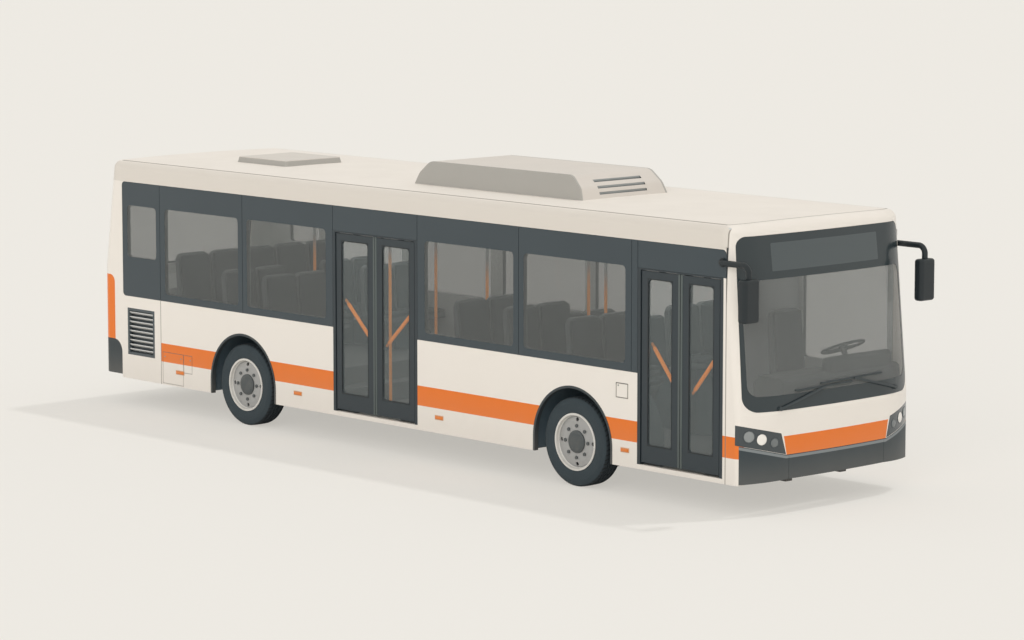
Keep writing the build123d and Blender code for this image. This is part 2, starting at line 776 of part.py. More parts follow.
# Rear floor: two steps, the raised floor over the rear axle and the hump over the engine
hump_x = rear_joint_x + 120.0
rise = (rear_floor_z - floor_z) / 2
rear_floor = block(step_x - riser_t, step_x - fit, -floor_y, floor_y, floor_z - floor_t, floor_z + rise)
rear_floor += block(step_x - step_run - riser_t, step_x - fit, -floor_y, floor_y,
                    floor_z + rise - floor_t, floor_z + rise)
rear_floor += block(step_x - step_run - riser_t, step_x - step_run, -floor_y, floor_y,
                    floor_z + rise - floor_t, rear_floor_z)
rear_floor += block(hump_x, step_x - step_run, -floor_y, floor_y, rear_floor_z - floor_t, rear_floor_z)
box_chord = sqrt(box_r ** 2 - (rear_floor_z - floor_t - tyre_r) ** 2) + fit
for side in (1, -1):
    rear_floor -= block(rear_axle_x - box_chord, rear_axle_x + box_chord, side * (rear_box_y - fit),
                        side * side_limit, 0, rear_floor_z + 1)
rear_floor += block(hump_x - riser_t, hump_x, -floor_y, floor_y, rear_floor_z - floor_t, hump_z)
rear_floor += block(tail_x + 60, hump_x, -floor_y, floor_y, hump_z - floor_t, hump_z)
parts["rear_floor"] = rear_floor & envelope(wall + fit)

# Wheel boxes: half-round housings over the wheels, open below and towards the arch
housings = []
for x, inner in ((front_axle_x, front_box_y), (rear_axle_x, rear_box_y)):
    housing = arch_cut(x, inner, floor_y - fit, box_r)
    hollow = arch_cut(x, inner + box_wall, floor_y + beyond, arch_r + box_gap)
    if x == rear_axle_x:
        hollow += block(x - 120, x + 120, inner - 5, inner + box_wall + 5, 0, tyre_r + 110)
    housing -= hollow + block(x - 2 * box_r, x + 2 * box_r, 0, side_limit, -2 * beyond, floor_z - floor_t)
    housings += both_sides(housing)
parts["wheel_boxes"] = housings

# Podiums: one for seats on the right, one for the driver
podiums = [block(*podium_x, -floor_y + fit, -podium_y, floor_z, podium_z)]
podiums.append(block(*driver_podium_x, driver_podium_y, floor_y - fit, floor_z, driver_floor_z) & envelope(wall + fit))
parts["podiums"] = podiums

# Black trim rings inside the arches
rings = []
for x in (front_axle_x, rear_axle_x):
    ring = arch_cut(x, half_width - wall + 2, half_width + arch_trim_stand, arch_r - fit)
    ring -= arch_cut(x, half_width - wall - 10, half_width + 10, arch_r - arch_trim)
    rings += both_sides(ring & block(x - arch_r, x + arch_r, 0, side_limit, skirt_z, tyre_r + arch_r))
parts["arch_trims"] = rings

# Underframe: two box rails and cross members, stepped up over the rear axle. The front ends of the
# rails are bored for towing pins, and pads below them take the jacks.
kick_x = step_x - 2 * step_run
low_top = floor_z - floor_t
high_top = rear_floor_z - floor_t
frame = []
for side in (1, -1):
    y0, y1 = side * (rail_y - rail_w / 2), side * (rail_y + rail_w / 2)
    rails = block(kick_x, rail_front_x, y0, y1, low_rail_z, low_top)
    rails += block(kick_x - rail_w, kick_x, y0, y1, low_rail_z, high_top)
    rails += block(rail_rear_x, kick_x, y0, y1, high_rail_z, high_top)
    rails -= rod_x(rail_front_x - tow_bore_depth, rail_front_x + 1, side * rail_y, (low_rail_z + low_top) / 2,
                   tow_bore_r)
    for x in jack_pad_x:
        rails += Pos(x, side * rail_y, low_rail_z - jack_pad[2] / 2) * Box(*jack_pad)
    frame.append(rails)
# Cross members: place along X, level of the rails there
cross = [(4760.0, low_rail_z), (3500.0, low_rail_z), (1900.0, low_rail_z), (1100.0, low_rail_z),
         (300.0, low_rail_z), (-500.0, low_rail_z), (-1150.0, low_rail_z), (-1780.0, high_rail_z),
         (-3500.0, high_rail_z), (-4190.0, high_rail_z)]
for x, z in cross:
    top = low_top if z == low_rail_z else high_top
    frame.append(block(x - cross_w / 2, x + cross_w / 2, -cross_reach, cross_reach, z + cross_rise, top))
underframe = frame[0] + frame[1:]
for side in (1, -1):
    underframe -= block(front_axle_x - 160, front_axle_x + 160, side * (rail_y - spring_plate_y),
                        side * (rail_y + spring_plate_y), 0, front_spring_top)
parts["underframe"] = underframe

# Engine across the tail: one block on two feet between the rails
engine_x = (-5050.0, -4290.0)
engine_y = 340.0
engine_z = (420.0, 1120.0)
engine = block(*engine_x, -engine_y, engine_y, *engine_z)
for x in (engine_x[0] + 150, engine_x[1] - 160):
    engine += block(x - 40, x + 40, -rail_y + rail_w / 2, rail_y - rail_w / 2, high_rail_z + 10, high_top - 20)
parts["engine"] = engine

# Front axle: a dropped beam with a boss for each kingpin
axle_half = []
beam_end = (tyre_r - 45, tyre_r + 35)
for side in (1, -1):
    half = prism_x([(0, beam_z[0]), (660, beam_z[0]), (790, beam_end[0]), (kingpin_y, beam_end[0]),
                    (kingpin_y, beam_end[1]), (750, beam_end[1]), (620, beam_z[1]), (0, beam_z[1])],
                   front_axle_x - beam_w / 2, front_axle_x + beam_w / 2)
    half += rod(front_axle_x, kingpin_y, tyre_r - boss_h / 2, tyre_r + boss_h / 2, boss_r)
    half -= rod(front_axle_x, kingpin_y, tyre_r - boss_h, tyre_r + boss_h, kingpin_r + kingpin_gap)
    axle_half.append(half if side > 0 else mirrored(half))
parts["front_axle"] = axle_half[0] + axle_half[1]

# Rear axle: tube, differential and the plates that carry the air springs
spindle_out = track_half + 38
tube_out = track_half - 92
rear_axle = rod_y(rear_axle_x, -tube_out, tube_out, tyre_r, axle_tube_r)
rear_axle += rod_y(rear_axle_x, -spindle_out, spindle_out, tyre_r, spindle_r)
# Half section of the differential: radius, place across
pumpkin = make_face(Curve() + [
    Line((0, -260), (90, -260)),
    Line((90, -260), (190, -90)),
    ThreePointArc((190, -90), (205, 0), (190, 90)),
    Line((190, 90), (90, 260)),
    Line((90, 260), (0, 260)),
    Line((0, 260), (0, -260)),
])
rear_axle += Pos(rear_axle_x, 0, tyre_r) * revolve(pumpkin, Axis.Y)
for side in (1, -1):
    rear_axle += block(rear_axle_x - spring_plate_x, rear_axle_x + spring_plate_x,
                       side * (rail_y - spring_plate_y), side * (rail_y + spring_plate_y), *bracket_z)
parts["rear_axle"] = rear_axle


def air_spring(x, y, z0, z1, r):
    """A bag of two bellows between two levels."""
    bag = rod(x, y, z0, z1, r - bellows_dip)
    for share in (0.25, 0.75):
        bag += Pos(x, y, z0 + (z1 - z0) * share) * Torus(r - bellows_dip, (z1 - z0) / 4 - 4)
    return bag


# Air springs: place along X, lower level, upper level, radius
springs = [
    (front_axle_x, beam_z[1], front_spring_top, front_spring_r),
    (rear_axle_x - rear_spring_off, bracket_z[1], high_rail_z, rear_spring_r),
    (rear_axle_x + rear_spring_off, bracket_z[1], high_rail_z, rear_spring_r),
]
parts["air_springs"] = [air_spring(x, side * rail_y, z0, z1, r) for x, z0, z1, r in springs for side in (1, -1)]

# Knuckles: two ears on the kingpin, the spindle, and an arm behind the axle for the tie rod
ear_z = (tyre_r - boss_h / 2 - knuckle_ear, tyre_r + boss_h / 2 + knuckle_ear)
plate_y = (kingpin_y + 60, kingpin_y + 82)
tie_x = front_axle_x - steering_arm
arm_low = tie_rod_z + tie_eye_h / 2 + 5
for side, label in ((1, "left"), (-1, "right")):
    knuckle = rod(front_axle_x, kingpin_y, *ear_z, kingpin_r)
    for z0, z1 in ((ear_z[0], tyre_r - boss_h / 2 - ear_gap), (tyre_r + boss_h / 2 + ear_gap, ear_z[1])):
        knuckle += rod(front_axle_x, kingpin_y, z0, z1, boss_r)
        knuckle += block(front_axle_x - boss_r, front_axle_x + boss_r, kingpin_y, plate_y[1], z0, z1)
    knuckle += block(front_axle_x - boss_r, front_axle_x + boss_r, *plate_y, *ear_z)
    knuckle += rod_y(front_axle_x, plate_y[0], spindle_out, tyre_r, spindle_r)
    knuckle += prism_y([(front_axle_x - 30, ear_z[0] + 10), (front_axle_x + 20, ear_z[0] + 10),
                        (front_axle_x + 20, ear_z[0] - 10), (tie_x + 22, arm_low), (tie_x - 18, arm_low),
                        (tie_x - 18, arm_low + 24)],
                       kingpin_y - steering_arm_w / 2, kingpin_y + steering_arm_w / 2)
    knuckle += rod(tie_x, kingpin_y, tie_rod_z - tie_eye_h / 2 - 6, arm_low + 5, tie_pin_r)
    parts[f"knuckle_{label}"] = knuckle if side > 0 else mirrored(knuckle)

# Tie rod: a tube between the two arms, with an eye at each end
tie_rod = rod_y(tie_x, -kingpin_y + tie_eye_r / 2, kingpin_y - tie_eye_r / 2, tie_rod_z, tie_rod_r - 3)
for y in (kingpin_y, -kingpin_y):
    tie_rod += rod(tie_x, y, tie_rod_z - tie_eye_h / 2, tie_rod_z + tie_eye_h / 2, tie_eye_r - 1)
    tie_rod -= rod(tie_x, y, tie_rod_z - tie_eye_h, tie_rod_z + tie_eye_h, tie_pin_r + tie_pin_gap)
parts["tie_rod"] = tie_rod


# Wheels, drawn about the Y axis at the origin with the outer side towards +Y
def tyre_shape():
    r0, r1, half_w = rim_r + fit, tyre_r, tyre_w / 2
    mid_r = r0 + 0.5 * (r1 - r0)
    shoulder = (r1 - 36, half_w - 10)
    crown_edge = (r1, half_w - tyre_crown)
    edges = [Line((r0, -bead_half), (r0, bead_half))]
    for s in (1, -1):
        bead = (r0 + 16, s * (bead_half + 3))
        side = (mid_r, s * half_w)
        edges += [
            Line((r0, s * bead_half), bead),
            ThreePointArc(bead, side, (shoulder[0], s * shoulder[1])),
            ThreePointArc((shoulder[0], s * shoulder[1]), (r1 - 9, s * (half_w - 20)), (crown_edge[0], s * crown_edge[1])),
        ]
    edges.append(Line(crown_edge, (crown_edge[0], -crown_edge[1])))
    return revolve(make_face(Curve() + edges), Axis.Y)


def rim_shape():
    """Steel wheel with its hub: a well with two flanges, a shallow disc, hub, drum and nuts."""
    seat = rim_r
    barrel = Polyline(
        (well_r, -70), (seat, -bead_half + 10), (seat, -bead_half - 2), (rim_flange_r, -bead_half - 4),
        (rim_flange_r, -rim_half), (seat - rim_t, -rim_half), (seat - rim_t, -bead_half + 8),
        (well_r - rim_t, -66), (well_r - rim_t, disc_y - disc_t - 4), (seat - rim_t - 6, disc_y + 6),
        (seat - rim_t, rim_half), (rim_flange_r, rim_half), (rim_flange_r, bead_half + 4),
        (seat, bead_half + 2), (seat, bead_half - 10), (well_r, 70), close=True)
    shape = revolve(make_face(barrel), Axis.Y)
    inner = disc_y - disc_t
    disc = Polyline(
        (0, disc_y + hub_rise), (hub_r - 26, disc_y + hub_rise), (hub_r, disc_y + 14), (hub_r, disc_y),
        (disc_r, disc_y), (well_r - 6, disc_y - 8), (well_r - 6, inner - 6), (disc_r, inner),
        (drum_r, inner - 12), (drum_r, inner - 118), (drum_r - 15, inner - 118), (drum_r - 15, inner - 34),
        (100, inner - 26), (60, inner - 34), (60, -36), (hub_bore_r, -36), (hub_bore_r, hub_bore_end),
        (0, hub_bore_end), close=True)
    shape += revolve(make_face(disc), Axis.Y)
    for i in range(hand_hole_count):
        a = radians(360 / hand_hole_count * i)
        shape -= rod_y(hand_hole_circle_r * cos(a), inner - 10, disc_y + 30, hand_hole_circle_r * sin(a), hand_hole_r)
    for i in range(nut_count):
        a = radians(360 / nut_count * i)
        seat_plane = Plane(origin=(bolt_circle_r * cos(a), disc_y - 2, bolt_circle_r * sin(a)), z_dir=(0, 1, 0))
        shape += extrude(seat_plane * RegularPolygon(nut_r, 6), nut_h + 2)
    return shape


tyre = tyre_shape()
rim = rim_shape()
for axle, x in (("front", front_axle_x), ("rear", rear_axle_x)):
    for side, label in ((1, "left"), (-1, "right")):
        place = Pos(x, side * track_half, tyre_r)
        parts[f"tyre_{axle}_{label}"] = place * (tyre if side > 0 else mirrored(tyre))
        parts[f"rim_{axle}_{label}"] = place * (rim if side > 0 else mirrored(rim))

# Air unit on the roof: a moulded cover with raked, rounded ends and three vents in its front
foot_z = crown_z - wall
ends = [(unit_x[0], foot_z), (unit_x[1], foot_z), (unit_x[1] - unit_end[0], unit_z - unit_end_r),
        (unit_x[1] - unit_end[1], unit_z), (unit_x[0] + unit_end[1], unit_z),
        (unit_x[0] + unit_end[0], unit_z - unit_end_r)]
side_face = make_face(Polyline(*[(x, -unit_y, z) for x, z in ends], close=True))
cover = extrude(side_face, 2 * unit_y, dir=(0, 1, 0))
crest = cover.edges().filter_by(Axis.Y).group_by(Axis.Z)
cover = fillet(crest[-1] + crest[-2], unit_end_r)
lean = (unit_z - foot_z) * sin(radians(unit_side_slope))
for turn in (1, -1):
    wedge = prism_x([(turn * unit_y, foot_z), (turn * (unit_y + beyond), foot_z), (turn * (unit_y + beyond), unit_z + 1),
                     (turn * (unit_y - lean), unit_z + 1)], unit_x[0] - 1, unit_x[1] + 1)
    cover -= wedge
for z in unit_vents_z:
    cover -= block(unit_x[1] - unit_end[1] - unit_vent_depth / 2, unit_x[1] + beyond, -unit_vent_y, unit_vent_y,
                   z - unit_vent_h / 2, z + unit_vent_h / 2)
parts["air_unit"] = cover - envelope(-fit)

# Roof hatch: a shallow lid on its kerb
hatch_mid = ((hatch_x[0] + hatch_x[1]) / 2, 0)
hatch_size = (hatch_x[1] - hatch_x[0], 2 * hatch_y)
hatch_rings = [
    Pos(*hatch_mid, crown_z - wall) * RectangleRounded(*hatch_size, hatch_r),
    Pos(*hatch_mid, hatch_z) * RectangleRounded(hatch_size[0] - 2 * hatch_taper, hatch_size[1] - 2 * hatch_taper, hatch_r),
]
parts["roof_hatch"] = loft(hatch_rings, ruled=True) - envelope(-fit)

# Mirrors: cranked tube arms from the header's corners, and the heads they carry
mirrors = []
path = FilletPolyline((mirror_x, half_width + fit, mirror_z), (mirror_x, mirror_arm_y, mirror_z),
                      (mirror_head_x, mirror_arm_y, mirror_z), (mirror_head_x, mirror_arm_y, mirror_head_z + 190),
                      radius=[34, 80])
tube = sweep(Plane(path @ 0, z_dir=path % 0) * Circle(mirror_arm_r), path)
head = Pos(mirror_head_x, mirror_arm_y, mirror_head_z) * Box(*mirror_head)
head = fillet(head.edges().filter_by(Axis.Z), mirror_head_r)
head = fillet(head.faces().sort_by(Axis.Z)[-1].edges() + head.faces().sort_by(Axis.Z)[0].edges(), mirror_head_round)
base = rod_y(mirror_x, half_width + fit, half_width + 16, mirror_z, mirror_base_r)
parts["mirrors"] = both_sides(tube + head + base)

# Wipers: blade and arm follow the screen's surface. Columns: blade's ends, pivot, where the arm holds
wiper_rows = [
    ((-600.0, 1208.0), (220.0, 1222.0), (-820.0, 1052.0), (-190.0, 1214.0)),
    ((-240.0, 1246.0), (680.0, 1262.0), (900.0, 1090.0), (240.0, 1254.0)),
]
blade_w = 16.0
blade_t = 14.0
wiper_arm_w = 22.0
wiper_arm_t = 24.0
wiper_hub_r = 22.0


def bar_prism(a, b, w):
    """A straight bar across the nose, between two (y, z) points."""
    dy, dz = b[0] - a[0], b[1] - a[1]
    length = sqrt(dy * dy + dz * dz)
    ny, nz = -dz / length * w / 2, dy / length * w / 2
    return nose_prism([(a[0] + ny, a[1] + nz), (b[0] + ny, b[1] + nz), (b[0] - ny, b[1] - nz), (a[0] - ny, a[1] - nz)],
                      lamp_x)


wipers = []
for a, b, pivot, hold in wiper_rows:
    one = skin(bar_prism(a, b, blade_w), -blade_t, -fit)
    one += skin(bar_prism(pivot, hold, wiper_arm_w), -wiper_arm_t, -blade_t)
    one += skin(rod_x(lamp_x, nose_x + beyond, *pivot, wiper_hub_r), -wiper_arm_t, -fit)
    wipers.append(one)
parts["wipers"] = wipers

# Cab: dashboard with its binnacle, steering column and wheel
dash_points = [(4560, 1000), (4560, 1210), (4640, 1300), (4900, 1290), (4960, 1250),
               (4960, driver_floor_z + fit), (4800, driver_floor_z + fit), (4800, 1000)]
dash_y = (-560.0, floor_y - 10)
dash = prism_y(dash_points, *dash_y) & envelope(wall + fit)
tilt = radians(wheel_tilt)
wheel_plane = Plane(origin=wheel_centre, x_dir=(cos(tilt), 0, sin(tilt)), z_dir=(-sin(tilt), 0, cos(tilt)))
wheel = wheel_plane * Torus(*wheel_ring)
wheel += wheel_plane * Cylinder(wheel_hub_r, 40)
for turn in (90, 210, 330):
    wheel += wheel_plane * Rot(0, 0, turn) * Pos(wheel_ring[0] / 2, 0, 0) * Box(wheel_ring[0], 34, 12)
column = wheel_plane * Pos(0, 0, -20 - fit - column_l / 2) * Cylinder(column_r, column_l)
parts["dashboard"] = dash + column
parts["steering_wheel"] = wheel


def seat(x, y, z, foot_z, back_h):
    """A seat facing +X: x is its back's foot, z the level its height counts from, foot_z its leg's foot."""
    lower_z = seat_h - seat_t
    top_x = back_t - back_rake * back_h / back_full
    profile = Polyline((0, lower_z), (seat_d, lower_z + 12), (seat_d + 8, seat_h), (back_t + 12, seat_h - 16),
                       (top_x + back_t, seat_h + back_h), (top_x, seat_h + back_h), (-8, lower_z), close=True)
    body = extrude(Plane.XZ * make_face(profile), seat_w / 2, both=True)
    body = fillet(body.edges().filter_by(Axis.Y).group_by(Axis.Z)[-1], back_r)
    leg = block(leg_x - leg_w / 2, leg_x + leg_w / 2, -leg_half, leg_half, foot_z - z, lower_z + 20)
    return Pos(x, y, z) * (body + leg)


def box_top(x, axle_x):
    """Top of a wheel box at the station x."""
    return tyre_r + sqrt(box_r ** 2 - (x - axle_x) ** 2)


# Double seats: foot of the back, side, level their height counts from, wheel box below or none, back
rows = [
    (-3100.0, 1, over_box_z, rear_axle_x, back_low),
    (-3100.0, -1, over_box_z, rear_axle_x, back_low),
    (-2380.0, 1, over_box_z, rear_axle_x, back_low),
    (-2380.0, -1, over_box_z, rear_axle_x, back_low),
    (-700.0, 1, floor_z, None, back_full),
    (60.0, 1, floor_z, None, back_full),
    (830.0, 1, floor_z, None, back_full),
    (830.0, -1, podium_z, None, back_full),
    (1600.0, 1, floor_z, None, back_full),
    (1600.0, -1, podium_z, None, back_full),
    (2530.0, 1, over_box_z, front_axle_x, back_low),
    (2530.0, -1, over_box_z, front_axle_x, back_low),
]
seats = []
for x, side, z, axle_x, back in rows:
    for y in seat_y:
        foot = z + fit
        if axle_x:
            nearest = min(max(axle_x, x + leg_x - leg_w / 2), x + leg_x + leg_w / 2)
            foot = box_top(nearest, axle_x) + fit
        if axle_x == rear_axle_x and y < rear_box_y:
            foot = rear_floor_z + fit
        seats.append(seat(x, side * y, z, foot, back))
bench_x = hump_x + 128.0
for i in range(-2, 3):
    seats.append(seat(bench_x, i * 480.0, rear_floor_z, rear_floor_z + fit, back_full))
parts["passenger_seats"] = seats
parts["driver_seat"] = seat(*driver_seat_place, driver_floor_z, driver_floor_z + fit, back_full)

parts["partition"] = block(*partition_x, partition_y, floor_y - fit, floor_z + fit, partition_z)

# Grab poles, from floor to roof: place along X, place across, level of the floor
poles = [
    (-2625.0, -225.0, rear_floor_z),
    (2115.0, -225.0, floor_z),
    (1395.0, 225.0, floor_z),
    (-1140.0, 300.0, floor_z),
    (450.0, -380.0, floor_z),
    (-1140.0, -380.0, floor_z),
    (3350.0, -380.0, floor_z),
]
parts["grab_poles"] = [rod(x, y, z, crown_z, pole_r) & envelope(wall + fit) for x, y, z in poles]

os.makedirs("parts", exist_ok=True)
for name, shape in parts.items():
    pieces = shape if isinstance(shape, list) else [shape]
    solids = [solid for piece in pieces for solid in piece.solids()]
    export_step(solids[0] if len(solids) == 1 else Compound(children=solids), f"parts/{name}.step")
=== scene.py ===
import math

import bmesh
import bpy
from mathutils import Matrix, Vector


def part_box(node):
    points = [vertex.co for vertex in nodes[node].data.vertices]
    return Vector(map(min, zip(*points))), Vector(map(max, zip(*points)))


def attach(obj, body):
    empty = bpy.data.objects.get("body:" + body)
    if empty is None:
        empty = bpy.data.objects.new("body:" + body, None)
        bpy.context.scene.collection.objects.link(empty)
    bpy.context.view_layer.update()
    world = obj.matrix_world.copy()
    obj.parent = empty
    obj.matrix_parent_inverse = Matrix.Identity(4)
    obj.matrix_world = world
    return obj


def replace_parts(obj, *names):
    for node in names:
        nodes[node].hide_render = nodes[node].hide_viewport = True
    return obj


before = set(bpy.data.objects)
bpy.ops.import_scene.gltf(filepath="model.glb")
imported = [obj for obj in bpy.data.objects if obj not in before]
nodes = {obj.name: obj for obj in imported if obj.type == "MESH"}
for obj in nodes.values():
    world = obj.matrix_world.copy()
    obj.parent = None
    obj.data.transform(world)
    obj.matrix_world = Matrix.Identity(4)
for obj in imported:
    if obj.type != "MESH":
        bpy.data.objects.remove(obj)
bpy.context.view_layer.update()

# The studio: a plain pale floor that runs far back, a pale sky all round that lights the bus as an
# overcast day does, one broad lamp high over its left side that draws the soft shadow, and a weak one
# near the camera. The camera stands off the front right corner with a long lens.
camera_place = (29.205, -26.773, 6.615)
camera_azimuth = math.radians(47.06)
camera_elevation = math.radians(7.57)
lens_mm = 128.5
sensor_mm = 36.0
backdrop_tone = "EFEBE3"
floor_tone = "E9E6E0"
floor_glow = 0.57
sky_strength = 0.66
# Lamps, each a far sun: strength, softness, turn about x, y and z in degrees
suns = [
    ("high lamp", 0.9, 3, (-24, 8, 0)),
    ("fill lamp", 1.0, 40, (70, 0, 30)),
]
floor_half = 200.0
sight_end = 1000.0


def tone(code):
    """Linear red, green, blue and alpha of a six-digit screen colour."""
    channels = [int(code[i:i + 2], 16) / 255 for i in (0, 2, 4)]
    return tuple([(c / 12.92 if c < 0.04045 else ((c + 0.055) / 1.055) ** 2.4) for c in channels] + [1.0])


class Amount:
    """A value on its way through a material's nodes, so that sums on it are written as plain Python."""

    def __init__(self, finish, socket):
        self.finish = finish
        self.socket = socket

    def math(self, operation, *others):
        return self.finish.node("ShaderNodeMath", {"operation": operation}, [self, *others])

    def __add__(self, other):
        return self.math("ADD", other)

    __radd__ = __add__

    def __mul__(self, other):
        return self.math("MULTIPLY", other)

    __rmul__ = __mul__

    def __sub__(self, other):
        return self.math("SUBTRACT", other)

    def __rsub__(self, other):
        return self.math("MULTIPLY_ADD", -1.0, other)

    def __truediv__(self, other):
        return self.math("DIVIDE", other)

    def __abs__(self):
        return self.math("ABSOLUTE")

    def __pow__(self, other):
        return self.math("POWER", other)

    def above(self, other):
        return self.math("MAXIMUM", other)

    def below(self, other):
        return self.math("MINIMUM", other)

    def past(self, edge, blur=0.002):
        """0 before the edge and 1 after it, with a short ramp between."""
        settings = {"interpolation_type": "SMOOTHSTEP", "clamp": True}
        return self.finish.node("ShaderNodeMapRange", settings, [self, edge - blur / 2, edge + blur / 2])

    def within(self, low, high, blur=0.002):
        return self.past(low, blur) * (1 - self.past(high, blur))


class Finish:
    """A material in the making: its nodes come from node(), and coat() or painted() closes it."""

    def __init__(self, name, world=False):
        if world:
            self.material = bpy.data.worlds.new(name)
        else:
            self.material = bpy.data.materials.new(name)
        self.material.use_nodes = True
        self.tree = self.material.node_tree
        self.tree.nodes.clear()

    def node(self, kind, settings, inputs, output=0):
        """A new node: its settings first, then its sockets, where a six-digit code gives a colour."""
        made = self.tree.nodes.new(kind)
        for key, value in settings.items():
            setattr(made, key, value)
        for slot, value in inputs.items() if isinstance(inputs, dict) else enumerate(inputs):
            if isinstance(value, Amount):
                self.tree.links.new(value.socket, made.inputs[slot])
            else:
                made.inputs[slot].default_value = tone(value) if isinstance(value, str) else value
        return Amount(self, made.outputs[output])

    def place(self):
        """The point on the object, and its x, y and z."""
        point = self.node("ShaderNodeTexCoord", {}, [], "Object")
        return point, *[self.node("ShaderNodeSeparateXYZ", {}, [point], axis) for axis in "XYZ"]

    def mix(self, share, first, second):
        settings = {"data_type": "RGBA", "clamp_factor": True}
        return self.node("ShaderNodeMix", settings, {0: share, 6: first, 7: second}, 2)

    def noise(self, point, scale, detail=2.0, stretch=(1.0, 1.0, 1.0)):
        """A cloud of values round 0.5, drawn out along the axes by stretch."""
        drawn = self.node("ShaderNodeVectorMath", {"operation": "MULTIPLY"}, [point, stretch])
        return self.node("ShaderNodeTexNoise", {}, {"Vector": drawn, "Scale": scale, "Detail": detail})

    def bump(self, height, distance, strength=1.0):
        inputs = {"Height": height, "Distance": distance, "Strength": strength}
        return self.node("ShaderNodeBump", {}, inputs, "Normal")

    def skin(self, **inputs):
        """A Principled surface; spaces in the sockets' names are written as underscores."""
        named = {key.replace("_", " "): value for key, value in inputs.items()}
        return self.node("ShaderNodeBsdfPrincipled", {}, named)

    def painted(self, colour, **inputs):
        """Closes the material with one Principled surface."""
        return self.coat(self.skin(Base_Color=colour, **inputs))

    def coat(self, surface):
        """Closes the material or world with its surface."""
        kind = "World" if isinstance(self.material, bpy.types.World) else "Material"
        closing = self.tree.nodes.new(f"ShaderNodeOutput{kind}")
        self.tree.links.new(surface.socket, closing.inputs["Surface"])
        return self.material


def seen_or_mirrored(finish):
    """1 for rays that come straight from the camera or off gloss and through glass."""
    kinds = ("Camera", "Glossy", "Transmission")
    rays = [finish.node("ShaderNodeLightPath", {}, [], f"Is {kind} Ray") for kind in kinds]
    return rays[0].above(rays[1]).above(rays[2])


def sky():
    finish = Finish("pale sky", world=True)
    plain = finish.node("ShaderNodeBackground", {}, [backdrop_tone, 1.0])
    light = finish.node("ShaderNodeBackground", {}, [(1.0, 1.0, 1.0, 1.0), sky_strength])
    return finish.coat(finish.node("ShaderNodeMixShader", {}, [seen_or_mirrored(finish), light, plain]))


def paper():
    """The floor: matt, and of the backdrop's colour, so that only the shadow shows on it."""
    finish = Finish("pale floor")
    matt = finish.node("ShaderNodeBsdfDiffuse", {}, [floor_tone, 0.0])
    glow = finish.node("ShaderNodeEmission", {}, [backdrop_tone, 1.0])
    seen = finish.node("ShaderNodeLightPath", {}, [], "Is Camera Ray")
    return finish.coat(finish.node("ShaderNodeMixShader", {}, [seen * floor_glow, matt, glow]))


def form_of(mesh, name):
    """The mesh data of a bmesh, which is freed."""
    form = bpy.data.meshes.new(name)
    mesh.to_mesh(form)
    mesh.free()
    return form


def object_from(mesh, name, material):
    """A new object of a bmesh, with its material, in the scene."""
    made = bpy.data.objects.new(name, form_of(mesh, name))
    made.data.materials.append(material)
    bpy.context.scene.collection.objects.link(made)
    return made


def set_studio():
    scene = bpy.context.scene
    scene.view_settings.view_transform = "Standard"
    scene.world = sky()
    ground = bmesh.new()
    bmesh.ops.create_circle(ground, cap_ends=True, segments=96, radius=floor_half)
    object_from(ground, "floor_sheet", paper())
    for name, strength, softness, turns in suns:
        sun = bpy.data.lights.new(name, "SUN")
        sun.energy = strength
        sun.angle = math.radians(softness)
        lamp = bpy.data.objects.new(name, sun)
        lamp.rotation_euler = [math.radians(turn) for turn in turns]
        lamp.visible_glossy = False
        scene.collection.objects.link(lamp)
    lens = bpy.data.cameras.new("camera")
    lens.lens = lens_mm
    lens.sensor_width = sensor_mm
    lens.clip_end = sight_end
    camera = bpy.data.objects.new("camera", lens)
    camera.location = camera_place
    camera.rotation_euler = (math.pi / 2 - camera_elevation, 0, camera_azimuth)
    scene.collection.objects.link(camera)
    scene.camera = camera


set_studio()

# The body shell: a welded frame skinned with steel sheet and moulded corner panels, sprayed cream with
# one orange stripe along the flanks, an orange panel between the headlamps and orange rear corners.
# Its inner faces are lined in pale grey, and the joints between its panels are sealed.
cream_tone = "EEE7DD"
cream_shade = "E8E0D5"
cove_shade_tone = "D8D0C5"
orange_tone = "E87410"
seam_tone = "7E776D"
sealant_tone = "2E3436"
lining_tone = "C6C8C5"
dust_and_roof_shade_tone = "B9AFA0"
stripe_low = 0.576
stripe_high = 0.79
front_joint_x = 4.835
rear_joint_x = -4.173
rear_joint_top = 1.28
panel_half = 0.73
panel_slant = 0.2
panel_gap = 0.015
flank_inner = 1.19
post_inner = 1.16
nose_start = 4.95
rear_corner = (-5.6, -5.045, 0.5, 1.51)
rear_corner_r = 0.09
# The roof's sheet: its gutter seam, its bowed front edge, and where its curved sides begin
gutter_y = 1.165
gutter_foot = 2.7
gutter_rear = -4.97
roof_edge_x = 4.86
roof_edge_bow = 0.032
roof_edge_corner = 0.95
cove_foot = 2.62
roof_top = 2.8
roof_seam_half = 0.013
# Service flaps: rear, front, lower and upper edge, and how dark the gap round it shows
flap_boxes = [
    ((-4.14, -3.76, 0.33, 0.69), 0.35),
    ((-3.75, -3.6, 0.486, 0.69), 0.35),
    ((3.315, 3.48, 1.007, 1.151), 0.9),
]
seam_half = 0.0055
# Inner faces of the walls, the roof and the tail, which is bowed, raked above its waist and rounded
wall_inner = 1.2025
roof_inner = 2.828
tail_inner_x = -5.282
tail_bow = 0.016
tail_waist = 1.6
tail_rake = 0.148
tail_corner_y = 1.1
tail_corner_turn = 0.6
# Sealed joint between the panes and the wall behind them
groove_floor = 1.2425
groove_mouth = 1.2492
groove_ends = (-4.9, 4.84)
groove_top = 2.63
reveal_outer = 1.2437
band_foot = 1.13
band_top = 2.64
dust_line = 0.62


